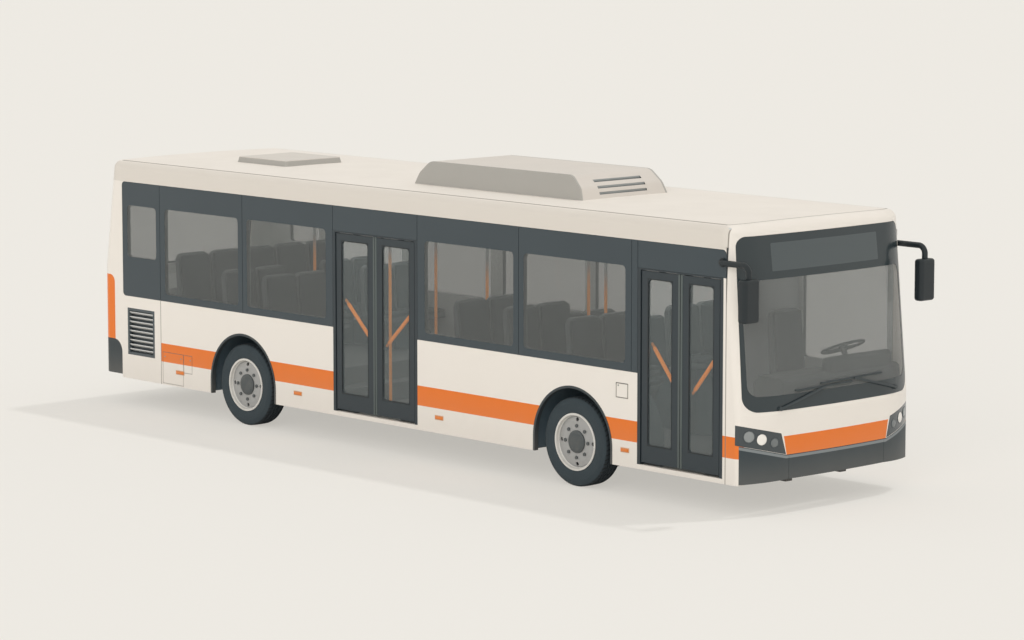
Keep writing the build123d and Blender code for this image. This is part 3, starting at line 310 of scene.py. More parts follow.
def inside(across, up, box, corner):
    """1 inside a rectangle with rounded corners, given by its low, high, foot and top edge."""
    low, high, foot, top = box
    dx = abs(across - (low + high) / 2) - ((high - low) / 2 - corner)
    dz = abs(up - (foot + top) / 2) - ((top - foot) / 2 - corner)
    outside = (dx.above(0.0) ** 2.0 + dz.above(0.0) ** 2.0) ** 0.5 + dx.above(dz).below(0.0)
    return 1 - outside.past(corner)


def line(value, place, half=seam_half):
    """1 on a narrow line where the value passes a place."""
    return 1 - abs(value - place).past(half, 0.0015)


def outline(across, up, box, half=seam_half):
    """1 on a narrow line round a rectangle."""
    low, high, foot, top = box
    wider = inside(across, up, (low - half, high + half, foot - half, top + half), 0.008)
    return wider * (1 - inside(across, up, (low + half, high - half, foot + half, top - half), 0.004))


def orange_peel(finish, point, distance=0.0004):
    """The faint waviness of sprayed paint."""
    return finish.bump(finish.noise(point, 90.0), distance, 0.35)


def begin(name):
    """A new finish, the point on the object, and its x, y and z."""
    finish = Finish(name)
    return finish, *finish.place()


def body_paint():
    finish, point, x, y, z = begin("cream and orange body paint")
    side = abs(y)
    flank = side.past(flank_inner)
    stripe = flank * z.within(stripe_low, stripe_high) * x.past(rear_joint_x)
    width = side - (z - stripe_low) * panel_slant
    nose = x.past(nose_start) * z.within(stripe_low, stripe_high - panel_gap) * (1 - width.past(panel_half))
    orange = stripe.above(nose).above(inside(x, z, rear_corner, rear_corner_r) * flank)
    colour = finish.mix(finish.noise(point, 1.4, 3.0) * 0.35, cream_tone, cream_shade)
    colour = finish.mix(orange, colour, orange_tone)
    # Joints: across the flanks, along the gutter and where the roof meets the bowed front panel
    front_edge = roof_edge_x - roof_edge_bow * y * y - (side - roof_edge_corner).above(0.0) ** 2.0
    up = z.past(gutter_foot)
    # Painted shade: the rounded cove between the window band and the roof is a darker cream.
    cove_shade = z.past(cove_foot) * side.past(flank_inner, 0.03) * (1 - x.past(front_joint_x))
    colour = finish.mix(cove_shade * 0.8, colour, cove_shade_tone)
    seams = line(x, front_joint_x) * flank.above(1 - up) * side.past(post_inner)
    seams = seams.above(line(x, rear_joint_x) * (1 - z.past(rear_joint_top)))
    gutter_run = (1 - (x - front_edge).past(0.0)) * x.past(gutter_rear)
    seams = seams.above(line(side, gutter_y, roof_seam_half) * up * gutter_run)
    seams = seams.above(line(x, front_edge, roof_seam_half) * up * (1 - side.past(gutter_y)))
    seams = seams * 0.85
    for box, share in flap_boxes:
        seams = seams.above(outline(x, z, box) * flank * share)
    glazed = x.within(*groove_ends)
    grooves = side.within(groove_floor, groove_mouth, 0.0005) * glazed * (1 - z.past(groove_top))
    seams = seams.above(grooves * 0.7)
    colour = finish.mix(seams, colour, seam_tone)
    colour = finish.mix(grooves * z.past(band_foot), colour, sealant_tone)
    # Dust darkens the paint towards the bottom. The top of the roof is darkened too, and that is painted
    # shade.
    darkening = (1 - z.past(dust_line, 0.5)) * (0.06 + 0.1 * finish.noise(point, 7.0, 4.0))
    top = z.past(roof_top, 0.1)
    darkening = darkening + top * (0.04 + 0.2 * finish.noise(point, 2.2, 3.0))
    colour = finish.mix(darkening, colour, dust_and_roof_shade_tone)
    reveal = side.within(wall_inner, reveal_outer, 0.0008) * z.within(band_foot, band_top) * glazed
    colour = finish.mix(reveal, colour, sealant_tone)
    lined = (1 - side.past(wall_inner)) * (1 - z.past(roof_inner)) * (1 - x.past(front_joint_x))
    tail_inner = tail_bow * y * y + tail_inner_x + tail_rake * (z - tail_waist).above(0.0)
    lined = lined * (x - tail_inner - tail_corner_turn * (side - tail_corner_y).above(0.0)).past(0.0)
    colour = finish.mix(lined, colour, lining_tone)
    rough = 0.34 + 0.1 * finish.noise(point, 3.0, 3.0) + lined * 0.2 + top * 0.2
    gloss = 0.22 * (1 - lined) * (1 - orange * 0.7) * (1 - top)
    return finish.painted(colour, Roughness=rough, Coat_Weight=gloss, Coat_Roughness=0.12,
                          Normal=orange_peel(finish, point))


def finish_nodes(material, *names):
    """Gives a CAD piece its finish."""
    for name in names:
        piece = nodes[name]
        piece.data.materials.clear()
        piece.data.materials.append(material)


finish_nodes(body_paint(), "roof", "wall_left", "wall_right", "rear_wall", "front_mask", "engine_door")

# The glazing: grey tinted panes bonded flush over the body, with a printed slate edge that hides the
# bond and the pillars. The windscreen carries the same print round it and a window for the display.
slate_tone = "343E43"
slate_shade = "3A454A"
display_tone = "4A5254"
light_corner = 0.05
light_low = 1.362
light_high = 2.347
# Clear lights of the sides, those on both first: rear edge, front edge, lower edge, upper edge
shared_lights = [
    (-4.79, -4.245, 1.744, 2.346),
    (-4.082, -2.741, light_low, light_high),
    (-2.583, -1.211, light_low, light_high),
    (1.951, 3.44, light_low, light_high),
]
right_lights = [*shared_lights, (0.416, 1.796, light_low, light_high)]
left_lights = [
    *shared_lights,
    (-1.012, 0.338, light_low, light_high),
    (0.496, 1.796, light_low, light_high),
    (3.6, 4.76, 1.21, light_high),
]
screen_light = (-1.15, 1.15, 1.18, 2.31)
screen_light_corner = 0.11
display_window = (-0.775, 0.775, 2.385, 2.66)
display_corner = 0.012
rear_light = (-0.93, 0.93, 1.565, 2.375)
rear_light_corner = 0.06
# How much each glass hides, and its two shades
side_tint = (0.39, ("636664", "727573"))
end_tint = (0.34, ("7C7F7D", "8D908E"))


def any_light(across, up, lights, corner):
    """1 in any of the clear lights of a table."""
    clear = inside(across, up, lights[0], corner)
    for light in lights[1:]:
        clear = clear.above(inside(across, up, light, corner))
    return clear


def printed_glass(finish, point, clear, print_colour, tint, codes):
    """Tinted glass where clear is 1, and the dark print elsewhere."""
    shade = finish.noise(point, 0.5, 2.0)
    glass_colour = finish.mix(shade, *codes)
    glass = finish.skin(Base_Color=glass_colour, Roughness=0.05, Alpha=tint)
    printed = finish.skin(Base_Color=print_colour, Roughness=0.16 + 0.06 * shade)
    return finish.coat(finish.node("ShaderNodeMixShader", {}, [clear, printed, glass]))


def side_panes():
    finish, point, x, y, z = begin("side glass")
    left = y.past(0.0)
    clear = any_light(x, z, right_lights, light_corner) * (1 - left)
    clear = clear + any_light(x, z, left_lights, light_corner) * left
    slate = finish.mix(finish.noise(point, 0.8, 2.0), slate_tone, slate_shade)
    return printed_glass(finish, point, clear, slate, *side_tint)


def end_pane(name, light, corner, code, window=None):
    """Glass at the nose or tail, whose pattern lies across the bus."""
    finish, point, x, y, z = begin(name)
    colour = code
    if window:
        colour = finish.mix(inside(y, z, window, display_corner), colour, display_tone)
    return printed_glass(finish, point, inside(y, z, light, corner), colour, *end_tint)


finish_nodes(side_panes(), "side_glass")
screen_glass = end_pane("windscreen glass", screen_light, screen_light_corner, "2F383B", display_window)
finish_nodes(screen_glass, "windscreen")
finish_nodes(end_pane("rear window glass", rear_light, rear_light_corner, slate_tone), "rear_window")

# Dark mouldings: the bumpers, arch rings, mirrors and wipers are moulded or pressed parts in slate grey,
# with a fine leather-like grain and dust that settles low down. The front bumper carries a painted
# highlight: a paler band along its top edge.
bumper_top_z = 0.588
bumper_bend_y = 0.738
bumper_rise = 0.235
bumper_highlight_band = (-0.036, -0.008)


def moulding(name, code, roughness=0.55, grain=260.0, depth=0.0006, dusty=0.18, extra=None):
    """Grained plastic or coated metal. Extra, given the place, adds a mask and its colour."""
    finish, point, x, y, z = begin(name)
    darker = tuple([c * 0.84 for c in tone(code)[:3]] + [1.0])
    colour = finish.mix(finish.noise(point, 2.5, 3.0), code, darker)
    if extra:
        mask, other = extra(x, y, z)
        colour = finish.mix(mask, colour, other)
    if dusty:
        colour = finish.mix((1 - z.past(0.45, 0.5)) * dusty, colour, "A89F92")
    rough = roughness - 0.06 + 0.12 * finish.noise(point, 6.0, 2.0)
    bumps = finish.bump(finish.noise(point, grain, 1.0), depth, 0.5)
    return finish.painted(colour, Roughness=rough, Normal=bumps)


def bumper_painted_highlight(x, y, z):
    """A painted highlight: the paler band that follows the front bumper's top edge."""
    drop = z - (abs(y) - bumper_bend_y).above(0.0) * bumper_rise - bumper_top_z
    return drop.within(*bumper_highlight_band), "7F8586"


trim_moulding = moulding("dark trim moulding", "363E41", 0.5)
mirror_moulding = moulding("mirror moulding", "1B2428", 0.45)
finish_nodes(moulding("front bumper moulding", "333E43", extra=bumper_painted_highlight), "front_bumper")
finish_nodes(moulding("rear bumper moulding", "373F42"), "rear_bumper")
finish_nodes(trim_moulding, "arch_trims", "wipers", "steering_wheel", "air_springs")
finish_nodes(mirror_moulding, "mirrors")
finish_nodes(moulding("dashboard moulding", "4A4F50"), "dashboard")
finish_nodes(moulding("partition panel", "BEC2C1"), "partition")
finish_nodes(moulding("display screen", "4E5556", 0.25), "destination_display")

# The side grilles: pressed aluminium slats in a dark frame, for the air to the engine bay.
grille_inner = 0.034
slat_rear_y = 1.205
slat_depth = 0.05


def grille_paint():
    finish, point, x, y, z = begin("grille slats")
    frame_low, frame_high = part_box("side_grilles")
    slats = x.within(frame_low[0] + grille_inner, frame_high[0] - grille_inner)
    slats = slats * z.within(frame_low[2] + grille_inner, frame_high[2] - grille_inner)
    # Painted shade: each slat is palest at its outer edge and darker the deeper it lies.
    depth = (abs(y) - slat_rear_y).above(0.0) / slat_depth
    shaded_slat = finish.mix(depth, "B4B5B2", "E4E3DF")
    colour = finish.mix(slats, "4A5255", shaded_slat)
    rough = 0.42 + 0.1 * finish.noise(point, 8.0, 2.0)
    return finish.painted(colour, Roughness=rough, Normal=orange_peel(finish, point))


finish_nodes(grille_paint(), "side_grilles")

# The doors: aluminium leaves in slate powder coat, each with one bonded pane and an orange grab rail
# that slopes down to the meeting edge. A post beside each leaf carries it on an arm above and below.
door_names = [f"{door}_door_{place}" for door in ("front", "middle") for place in ("rear", "fore")]
leaf_inner_y = -1.213
rail_clearance = 0.018
rail_low = 1.12
rail_high = 1.61
grip_tone = "FF9A2C"


def door_paint():
    finish, point, x, y, z = begin("slate door paint")
    rail = y.past(leaf_inner_y + rail_clearance) * z.within(rail_low, rail_high)
    slate = finish.mix(finish.noise(point, 2.0, 3.0), "2D373C", "283136")
    colour = finish.mix(rail, slate, grip_tone)
    rough = 0.36 + 0.1 * finish.noise(point, 5.0, 2.0)
    return finish.painted(colour, Roughness=rough, Normal=orange_peel(finish, point))


def round_edges(mesh, edges, radius, segments=3):
    """Rounds edges of a mesh."""
    bmesh.ops.bevel(mesh, geom=edges, offset=radius, offset_type="OFFSET", segments=segments, profile=0.5,
                    affect="EDGES", material=-1, clamp_overlap=True)


def add_box(mesh, low, high, radius=0.0015, segments=2):
    """A box between two corners, with rounded edges."""
    low, high = Vector(low), Vector(high)
    made = bmesh.ops.create_cube(mesh, size=1.0)["verts"]
    bmesh.ops.scale(mesh, verts=made, vec=high - low)
    bmesh.ops.translate(mesh, verts=made, vec=(low + high) / 2)
    round_edges(mesh, list({edge for vertex in made for edge in vertex.link_edges}), radius, segments)


def stand_on(place, way):
    """The matrix that sets a form made about Z on a place, turned the way given."""
    return Matrix.Translation(place) @ way.to_track_quat("Z", "Y").to_matrix().to_4x4()


def add_rod(mesh, start, stop, radius, segments=20, end_radius=None):
    """A closed rod or cone between two points."""
    start, stop = Vector(start), Vector(stop)
    bmesh.ops.create_cone(mesh, cap_ends=True, segments=segments, radius1=radius,
                          radius2=radius if end_radius is None else end_radius, depth=(stop - start).length,
                          matrix=stand_on((start + stop) / 2, stop - start))


def smooth_object(mesh, name, material, body, angle=35.0):
    """A finished piece that rides on a body: its faces point outwards, smooth but for its sharp edges."""
    bmesh.ops.recalc_face_normals(mesh, faces=mesh.faces)
    for face in mesh.faces:
        face.smooth = True
    for edge in mesh.edges:
        edge.smooth = not edge.link_faces or edge.calc_face_angle(0.0) < math.radians(angle)
    made = object_from(mesh, name, material)
    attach(made, body)
    return made


def plain(name, code, **inputs):
    """A material that is the same all over."""
    return Finish(name).painted(code, **inputs)


leaf_paint = door_paint()
finish_nodes(leaf_paint, "door_frames")
for name in door_names:
    finish_nodes(leaf_paint, f"{name}_arm", f"{name}_leaf")
door_glass = plain("door glass", "7C8382", Roughness=0.05, Alpha=0.3)
finish_nodes(door_glass, *[f"{name}_glass" for name in door_names])

# Door seals: grey rubber profiles along each leaf's meeting edge, and a dark gasket round each pane.
seal_rubber = moulding("grey seal rubber", "59615F", 0.6, 300.0, 0.0003, 0.0)
gasket_rubber = moulding("black gasket rubber", "262B2D", 0.6, 300.0, 0.0003, 0.0)
seal_w = 0.026
# Each profile's rise from the leaf's face, and how deep it sits in the leaf
seal_rise, seal_depth = 0.003, 0.006
seal_foot_gap = 0.02
seal_head_gap = 0.04
gasket_w = 0.01
gasket_rise, gasket_depth = 0.0012, 0.004
fine_edge = 0.0008
for name in door_names:
    low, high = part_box(f"{name}_leaf")
    pane_low, pane_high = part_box(f"{name}_glass")
    meeting = high[0] if name.endswith("rear") else low[0]
    inward = -seal_w if name.endswith("rear") else seal_w
    face_y = low[1]
    seal = bmesh.new()
    x0, x1 = sorted((meeting, meeting + inward))
    add_box(seal, (x0, face_y - seal_rise, low[2] + seal_foot_gap),
            (x1, face_y + seal_depth, high[2] - seal_head_gap))
    smooth_object(seal, f"{name}_seal", seal_rubber, f"{name}_leaf")
    gasket = bmesh.new()
    rear, front = pane_low[0] - gasket_w, pane_high[0] + gasket_w
    foot, top = pane_low[2] - gasket_w, pane_high[2] + gasket_w
    for x0, x1, z0, z1 in ((rear, pane_low[0], foot, top), (pane_high[0], front, foot, top),
                           (rear, front, foot, pane_low[2]), (rear, front, pane_high[2], top)):
        add_box(gasket, (x0, face_y - gasket_rise, z0), (x1, face_y + gasket_depth, z1), fine_edge, 1)
    smooth_object(gasket, f"{name}_gasket", gasket_rubber, f"{name}_leaf")

# Grip sleeves: thick tubes of bright orange rubber over the leaves' sloping grab rails. The rubber carries
# a
# painted glow: a faint light of its own, though the sleeves are no lamps.
grip = Finish("orange grip sleeve")
glowing_grip_rubber = grip.painted("FF9612", Roughness=0.5, Emission_Color="FF8C0A", Emission_Strength=0.36,
                           Normal=orange_peel(grip, grip.place()[0]))
rail_stand_off = 0.045
rail_y = leaf_inner_y + rail_stand_off
rail_levels = (1.577, 1.15)
rail_insets = (0.076, 0.106)
sleeve_r = 0.0195
sleeve_edge = 0.005
# Shares of the rail's length at which its sleeve begins and ends
sleeve_ends = (0.07, 0.93)
for name in door_names:
    low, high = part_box(f"{name}_leaf")
    hung, meeting, toward = (low[0], high[0], 1) if name.endswith("rear") else (high[0], low[0], -1)
    start = Vector((hung + toward * rail_insets[0], rail_y, rail_levels[0]))
    stop = Vector((meeting - toward * rail_insets[1], rail_y, rail_levels[1]))
    sleeve = bmesh.new()
    add_rod(sleeve, start.lerp(stop, sleeve_ends[0]), start.lerp(stop, sleeve_ends[1]), sleeve_r, 24)
    rims = [edge for edge in sleeve.edges if edge.calc_face_angle(0.0) > 1.0]
    round_edges(sleeve, rims, sleeve_edge)
    smooth_object(sleeve, f"{name}_grip", glowing_grip_rubber, f"{name}_leaf")

# Headlamps: a dark cover over three lamp units a side. Each unit is a turned bezel round a domed lens.
# Columns: place across, level, radius, lens colour
lamp_units = [
    (1.145, 0.795, 0.056, "8D9190"),
    (1.02, 0.76, 0.056, "F4EFE6"),
    (0.88, 0.718, 0.045, "6B7070"),
]
dome = 0.007
bezel_t = 0.007
bezel_gap = 0.001
# Far points ahead of the bus and behind it, from which rays find its ends
ahead_x, behind_x = 6.0, -6.0


def on_surface(name, start, direction):
    """Where a ray from outside meets a CAD piece, and the outward direction there."""
    hit, place, normal, _ = nodes[name].ray_cast(Vector(start), Vector(direction))
    if not hit:
        raise ValueError(f"no surface of {name} there")
    return place, normal.normalized()


def add_dome(mesh, place, normal, radius, height):
    """A low dome on a surface, its lower half sunk in it."""
    made = bmesh.ops.create_uvsphere(mesh, u_segments=32, v_segments=12, radius=radius)["verts"]
    bmesh.ops.scale(mesh, verts=made, vec=(1.0, 1.0, height / radius))
    bmesh.ops.transform(mesh, verts=made, matrix=stand_on(place, normal))


def add_ring(mesh, place, normal, radius, thickness):
    """A turned ring round a surface's normal: a small round section, spun."""
    ring = bmesh.new()
    section = bmesh.ops.create_circle(ring, cap_ends=False, segments=8, radius=thickness / 2)["verts"]
    bmesh.ops.rotate(ring, verts=section, cent=(0, 0, 0), matrix=Matrix.Rotation(math.pi / 2, 3, "X"))
    bmesh.ops.translate(ring, verts=section, vec=(radius, 0, 0))
    bmesh.ops.spin(ring, geom=ring.verts[:] + ring.edges[:], cent=(0, 0, 0), axis=(0, 0, 1),
                   angle=math.tau, steps=36, use_merge=True)
    bmesh.ops.transform(ring, verts=ring.verts, matrix=stand_on(place, normal))
    form = form_of(ring, "ring form")
    mesh.from_mesh(form)
    bpy.data.meshes.remove(form)


def lens(name, code, pitch=220.0):
    """A clear lens with fine upright flutes, given how many there are to the metre."""
    finish, point, x, y, z = begin(name)
    flutes = finish.bump((y * pitch * math.tau).math("SINE"), 0.0006, 0.6)
    return finish.painted(code, Roughness=0.1, Coat_Weight=0.5, Normal=flutes)


bezel_metal = plain("dark bezel metal", "565D60", Metallic=0.8, Roughness=0.3)
finish_nodes(plain("dark lamp cover", "363E41", Roughness=0.1, Coat_Weight=0.5), "headlamps")
bezels = bmesh.new()
for across, level, radius, code in lamp_units:
    glass = bmesh.new()
    for side in (1, -1):
        place, normal = on_surface("headlamps", (ahead_x, side * across, level), (-1, 0, 0))
        add_dome(glass, place, normal, radius, dome)
        add_ring(bezels, place, normal, radius + bezel_gap, bezel_t)
    smooth_object(glass, f"headlamp_lens_{int(across * 1000)}", lens(f"lamp lens {code}", code), "bus")
smooth_object(bezels, "headlamp_bezels", bezel_metal, "bus")

# Fly screens behind the flank grilles and the engine door's louvres, solid dark sheets that paint the shade
# of the engine bay seen through the slots, and the engine door's handle: a dark recess with a pull bar.
flank_screen = ((-4.8, 1.186, 0.6), (-4.297, 1.19, 1.14))
door_screen_box = ((-5.2615, -0.57, 1.0), (-5.2575, 0.57, 1.32))
handle_z = 0.64
# Recess and bar: how far out of the skin and into it, half width, foot, top, rounded edge and its steps
handle_parts = [
    (0.0015, 0.01, 0.075, 0.612, 0.668, 0.0014, 2),
    (0.01, -0.001, 0.06, 0.634, 0.652, 0.004, 3),
]


def add_pair(mesh, low, high, radius, segments=2):
    """A box on the left side and its mirror image on the right."""
    for side in (1, -1):
        y0, y1 = sorted((side * low[1], side * high[1]))
        add_box(mesh, (low[0], y0, low[2]), (high[0], y1, high[2]), radius, segments)


shade_screen_finish = moulding("dark fly screen", "4C5254", 0.8, 500.0, 0.001, 0.0)
screens = bmesh.new()
add_pair(screens, *flank_screen, fine_edge, 1)
smooth_object(screens, "grille_screens", shade_screen_finish, "bus")
door_screen = bmesh.new()
add_box(door_screen, *door_screen_box, fine_edge, 1)
smooth_object(door_screen, "engine_door_screen", shade_screen_finish, "engine_door")
skin_x = on_surface("engine_door", (behind_x, 0.0, handle_z), (1, 0, 0))[0].x
handle = bmesh.new()
for rise, depth, half_w, foot, top, radius, segments in handle_parts:
    add_box(handle, (skin_x - rise, -half_w, foot), (skin_x + depth, half_w, top), radius, segments)
smooth_object(handle, "engine_door_handle", trim_moulding, "engine_door")

# Mirror glasses: a large plate above a small wide-angle one in the rear face of each head.
mirror_glass = plain("silvered mirror glass", "C9CDCE", Metallic=1.0, Roughness=0.04)
head_rear_x = 5.1145
head_y = 1.292
plate_half = 0.084
plate_rise, plate_depth = 0.003, 0.004
# Lower and upper edge of each plate
plates = [(1.972, 2.062), (2.076, 2.328)]
glasses = bmesh.new()
for lower, upper in plates:
    add_pair(glasses, (head_rear_x - plate_rise, head_y - plate_half, lower),
             (head_rear_x + plate_depth, head_y + plate_half, upper), 0.0028, 3)
smooth_object(glasses, "mirror_glasses", mirror_glass, "bus")

# Tail lamps: a column of round lenses a side, red, amber, red and clear from the top, in dark bezels.
tail_lamp_levels = [(1.24, "B4281C"), (1.1, "D9821E"), (0.96, "B4281C"), (0.82, "D8D6D0")]
tail_lamp_half_pitch = 0.07
tail_lamp_y = 1.08
tail_bezel_r = 0.058
tail_bezel_t = 0.01
flute_pitch = 160.0 * math.tau


def tail_lenses():
    finish, point, x, y, z = begin("tail lamp lenses")
    colour = tail_lamp_levels[0][1]
    for level, code in tail_lamp_levels[1:]:
        colour = finish.mix(1 - z.past(level + tail_lamp_half_pitch), colour, code)
    flutes = finish.bump((y * flute_pitch).math("SINE") * (z * flute_pitch).math("SINE"), 0.0006, 0.6)
    return finish.painted(colour, Roughness=0.12, Coat_Weight=0.6, Normal=flutes)


finish_nodes(tail_lenses(), "tail_lamps")
rings = bmesh.new()
for level, code in tail_lamp_levels:
    for side in (1, -1):
        place, normal = on_surface("tail_lamps", (behind_x, side * tail_lamp_y, level), (1, 0, 0))
        add_ring(rings, place - normal * tail_bezel_t / 2, normal, tail_bezel_r, tail_bezel_t)
smooth_object(rings, "tail_lamp_bezels", bezel_metal, "bus")

# Marker lamps: small amber blocks with a grey foot, low on both flanks.
marker_rows = [(-3.897, -3.743), (-1.773, -1.631), (0.577, 0.711), (3.381, 3.504)]
marker_z = (0.457, 0.5)
marker_inner_y, marker_lens_y, marker_foot_y = 1.246, 1.262, 1.254
foot_margin = 0.003
lens_inset_x, lens_inset_z = 0.01, 0.006
amber = lens("amber marker lens", "E07A28", 160.0)
marker_feet = moulding("marker lamp foot", "D9A274", 0.5)
lamps = bmesh.new()
feet = bmesh.new()
for rear, front in marker_rows:
    add_pair(lamps, (rear + lens_inset_x, marker_inner_y, marker_z[0] + lens_inset_z),
             (front - lens_inset_x, marker_lens_y, marker_z[1] - lens_inset_z), 0.004)
    add_pair(feet, (rear, marker_inner_y, marker_z[0] - foot_margin),
             (front, marker_foot_y, marker_z[1] + foot_margin), 0.003)
smooth_object(lamps, "marker_lenses", amber, "bus")
smooth_object(feet, "marker_feet", marker_feet, "bus")

# The service flaps' turn locks: small nickel plugs with a chamfered edge.
lock_nickel = plain("nickel lock", "A9A8A3", Metallic=0.9, Roughness=0.32)
lock_places = [(-4.1, 0.64), (-3.8, 0.64), (-3.63, 0.64), (3.345, 1.128)]
lock_inner_y, lock_outer_y = 1.247, 1.2525
lock_r, lock_face_r = 0.011, 0.009
locks = bmesh.new()
for x, z in lock_places:
    for side in (1, -1):
        add_rod(locks, (x, side * lock_inner_y, z), (x, side * lock_outer_y, z), lock_r, 20, lock_face_r)
smooth_object(locks, "flap_locks", lock_nickel, "bus")

# The roof's air unit: a moulded cover in warm grey with painted shade on its sides and three vents in
# its front, each with a pale blade and painted shade in its slot. The hatch behind it is a shallow moulded
# lid, with painted shade on its sides too.
vent_levels = (3.04, 2.978, 2.916)
vent_half_h = 0.0125
vent_half_w = 0.346
vent_start_x = 1.6
side_inset = 0.024
side_slope = 0.21
cover_top_tone, cover_side_shade_tone, cover_stain = "D6CEC4", "A7A49D", "B4AFA7"
lid_top_tone, lid_side_shade_tone = "D2CBC1", "A8A59E"
lid_edge = 0.006
blade_end_y = 0.345
blade_half_h = 0.0122
blade_back, blade_front = 0.03, 0.01


def moulded(finish, point, colour):
    """Closes the finish of a moulded cover, with its fine grain."""
    bumps = finish.bump(finish.noise(point, 160.0, 1.0), 0.0004, 0.5)
    return finish.painted(colour, Roughness=0.5, Normal=bumps)


def unit_cover():
    finish, point, x, y, z = begin("warm grey unit cover")
    low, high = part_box("air_unit")
    slant = abs(y) - (high[1] - side_inset - (z - low[2]) * side_slope)
    # Painted shade: the sloping sides are darker than the top.
    colour = finish.mix(slant.past(0.0, 0.01), cover_top_tone, cover_side_shade_tone)
    colour = finish.mix(finish.noise(point, 3.0, 3.0) * 0.3, colour, cover_stain)
    front = x.past(vent_start_x) * (1 - abs(y).past(vent_half_w))
    # Painted shade: the three vent slots in the front are coloured dark grey.
    for level in vent_levels:
        slot = z.within(level - vent_half_h, level + vent_half_h, 0.001) * front
        colour = finish.mix(slot, colour, "474C4D")
    return moulded(finish, point, colour)


def hatch_cover():
    finish, point, x, y, z = begin("warm grey hatch")
    low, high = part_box("roof_hatch")
    top = z.past(high[2] - lid_edge)
    # Painted shade: the lid's sides are darker than its top.
    colour = finish.mix(top, lid_side_shade_tone, lid_top_tone)
    colour = finish.mix(finish.noise(point, 4.0, 3.0) * 0.3, colour, cover_stain)
    return moulded(finish, point, colour)


finish_nodes(unit_cover(), "air_unit")
blades = bmesh.new()
for level in vent_levels:
    edge_x = on_surface("air_unit", (ahead_x, blade_end_y + 0.01, level), (-1, 0, 0))[0].x
    add_box(blades, (edge_x - blade_back, -blade_end_y, level - blade_half_h),
            (edge_x - blade_front, blade_end_y, level + blade_half_h), 0.002)
smooth_object(blades, "vent_blades", moulding("vent blades", "A2A6A4", 0.5), "bus")
finish_nodes(hatch_cover(), "roof_hatch")

# Running gear: painted steel and castings under the floor, dulled by road dust.
chassis_paint = moulding("black chassis paint", "34383A", 0.5, 120.0)
finish_nodes(chassis_paint, "underframe", "front_axle", "rear_axle", "knuckle_left", "knuckle_right",
             "tie_rod")
finish_nodes(moulding("engine casting", "4B4E4E", 0.6, 60.0, 0.002), "engine")
finish_nodes(moulding("black underseal", "566770", 0.8, 50.0, 0.003, 0.08), "wheel_boxes")

# Under the tail: the shaft from the engine to the rear axle, with a flange at each end, and outside the
# frame's rails an air tank and a silencer on the left and a fuel tank on the right, hung in straps.
tank_steel = moulding("tank steel", "7B7E7D", 0.42, 90.0, 0.0004, 0.35)
# Each end of the shaft, and the inner end of its flange
shaft_ends = [
    ((-4.285, 0, 0.64), (-4.225, 0, 0.632)),
    ((-3.035, 0, 0.48), (-3.095, 0, 0.488)),
]
shaft_r, flange_r = 0.042, 0.075
# Drums: rear end, front end, place across, level, radius
drums = [
    (-4.15, -3.42, 0.64, 0.56, 0.115),
    (-4.9, -4.25, 0.74, 0.59, 0.13),
]
drum_end = 0.05
drum_end_share = 0.55
strap_half_w, strap_t, hanger_half_w, hanger_top = 0.018, 0.004, 0.02, 0.712
pipe_start, pipe_stop, pipe_r = (-4.78, 0.74, 0.5), (-4.86, 0.74, 0.37), 0.034
fuel_low, fuel_high = (-4.15, -1.02, 0.44), (-3.42, -0.52, 0.69)
fuel_round = 0.045
fuel_straps = (-3.96, -3.61)
fuel_strap_half_w, fuel_strap_t = 0.02, 0.005
shaft = bmesh.new()
add_rod(shaft, shaft_ends[0][0], shaft_ends[1][0], shaft_r, 28)
for end, inner_end in shaft_ends:
    add_rod(shaft, end, inner_end, flange_r, 32)
smooth_object(shaft, "drive_shaft", chassis_paint, "bus")
tanks = bmesh.new()
straps = bmesh.new()
for start, stop, across, up, radius in drums:
    rear, front = (start + drum_end, across, up), (stop - drum_end, across, up)
    add_rod(tanks, rear, front, radius, 36)
    add_rod(tanks, rear, (start, across, up), radius, 36, radius * drum_end_share)
    add_rod(tanks, front, (stop, across, up), radius, 36, radius * drum_end_share)
    for share in (0.25, 0.75):
        along = start + (stop - start) * share
        x0, x1 = along - strap_half_w, along + strap_half_w
        add_rod(straps, (x0, across, up), (x1, across, up), radius + strap_t, 36)
        add_box(straps, (x0, across - hanger_half_w, up), (x1, across + hanger_half_w, hanger_top), 0.002)
add_rod(tanks, pipe_start, pipe_stop, pipe_r, 24)
add_box(tanks, fuel_low, fuel_high, fuel_round, 4)
for along in fuel_straps:
    add_box(straps, (along - fuel_strap_half_w, fuel_low[1] - fuel_strap_t, fuel_low[2] - fuel_strap_t),
            (along + fuel_strap_half_w, fuel_high[1] + fuel_strap_t, hanger_top), 0.046, 4)
smooth_object(tanks, "tanks", tank_steel, "bus")
smooth_object(straps, "tank_straps", chassis_paint, "bus")

# Wheels: steel discs sprayed silver grey round a dark hub with eight nuts, on black rubber tyres with
# four grooves round the tread and cut shoulders.
wheel_names = [f"{axle}_{side}" for axle in ("front", "rear") for side in ("left", "right")]
wheel_x = (-2.67, 2.68)
wheel_z = 0.464
track_half = 1.09
hub_r = 0.118
nut_band = (0.14, 0.19)
disc_edge = 0.264
# Faces of the nuts, the rim's flange, the hub and the barrel, outwards from the wheel's middle plane
nut_face, flange_face, hub_face, barrel_face = 0.0935, 0.085, 0.05, 0.045
# Where the tread begins, out from the axis, and its cut shoulders and ribs, across from the middle
tread_r = 0.45
shoulder = (0.06, 0.112)
rib_edge = 0.066
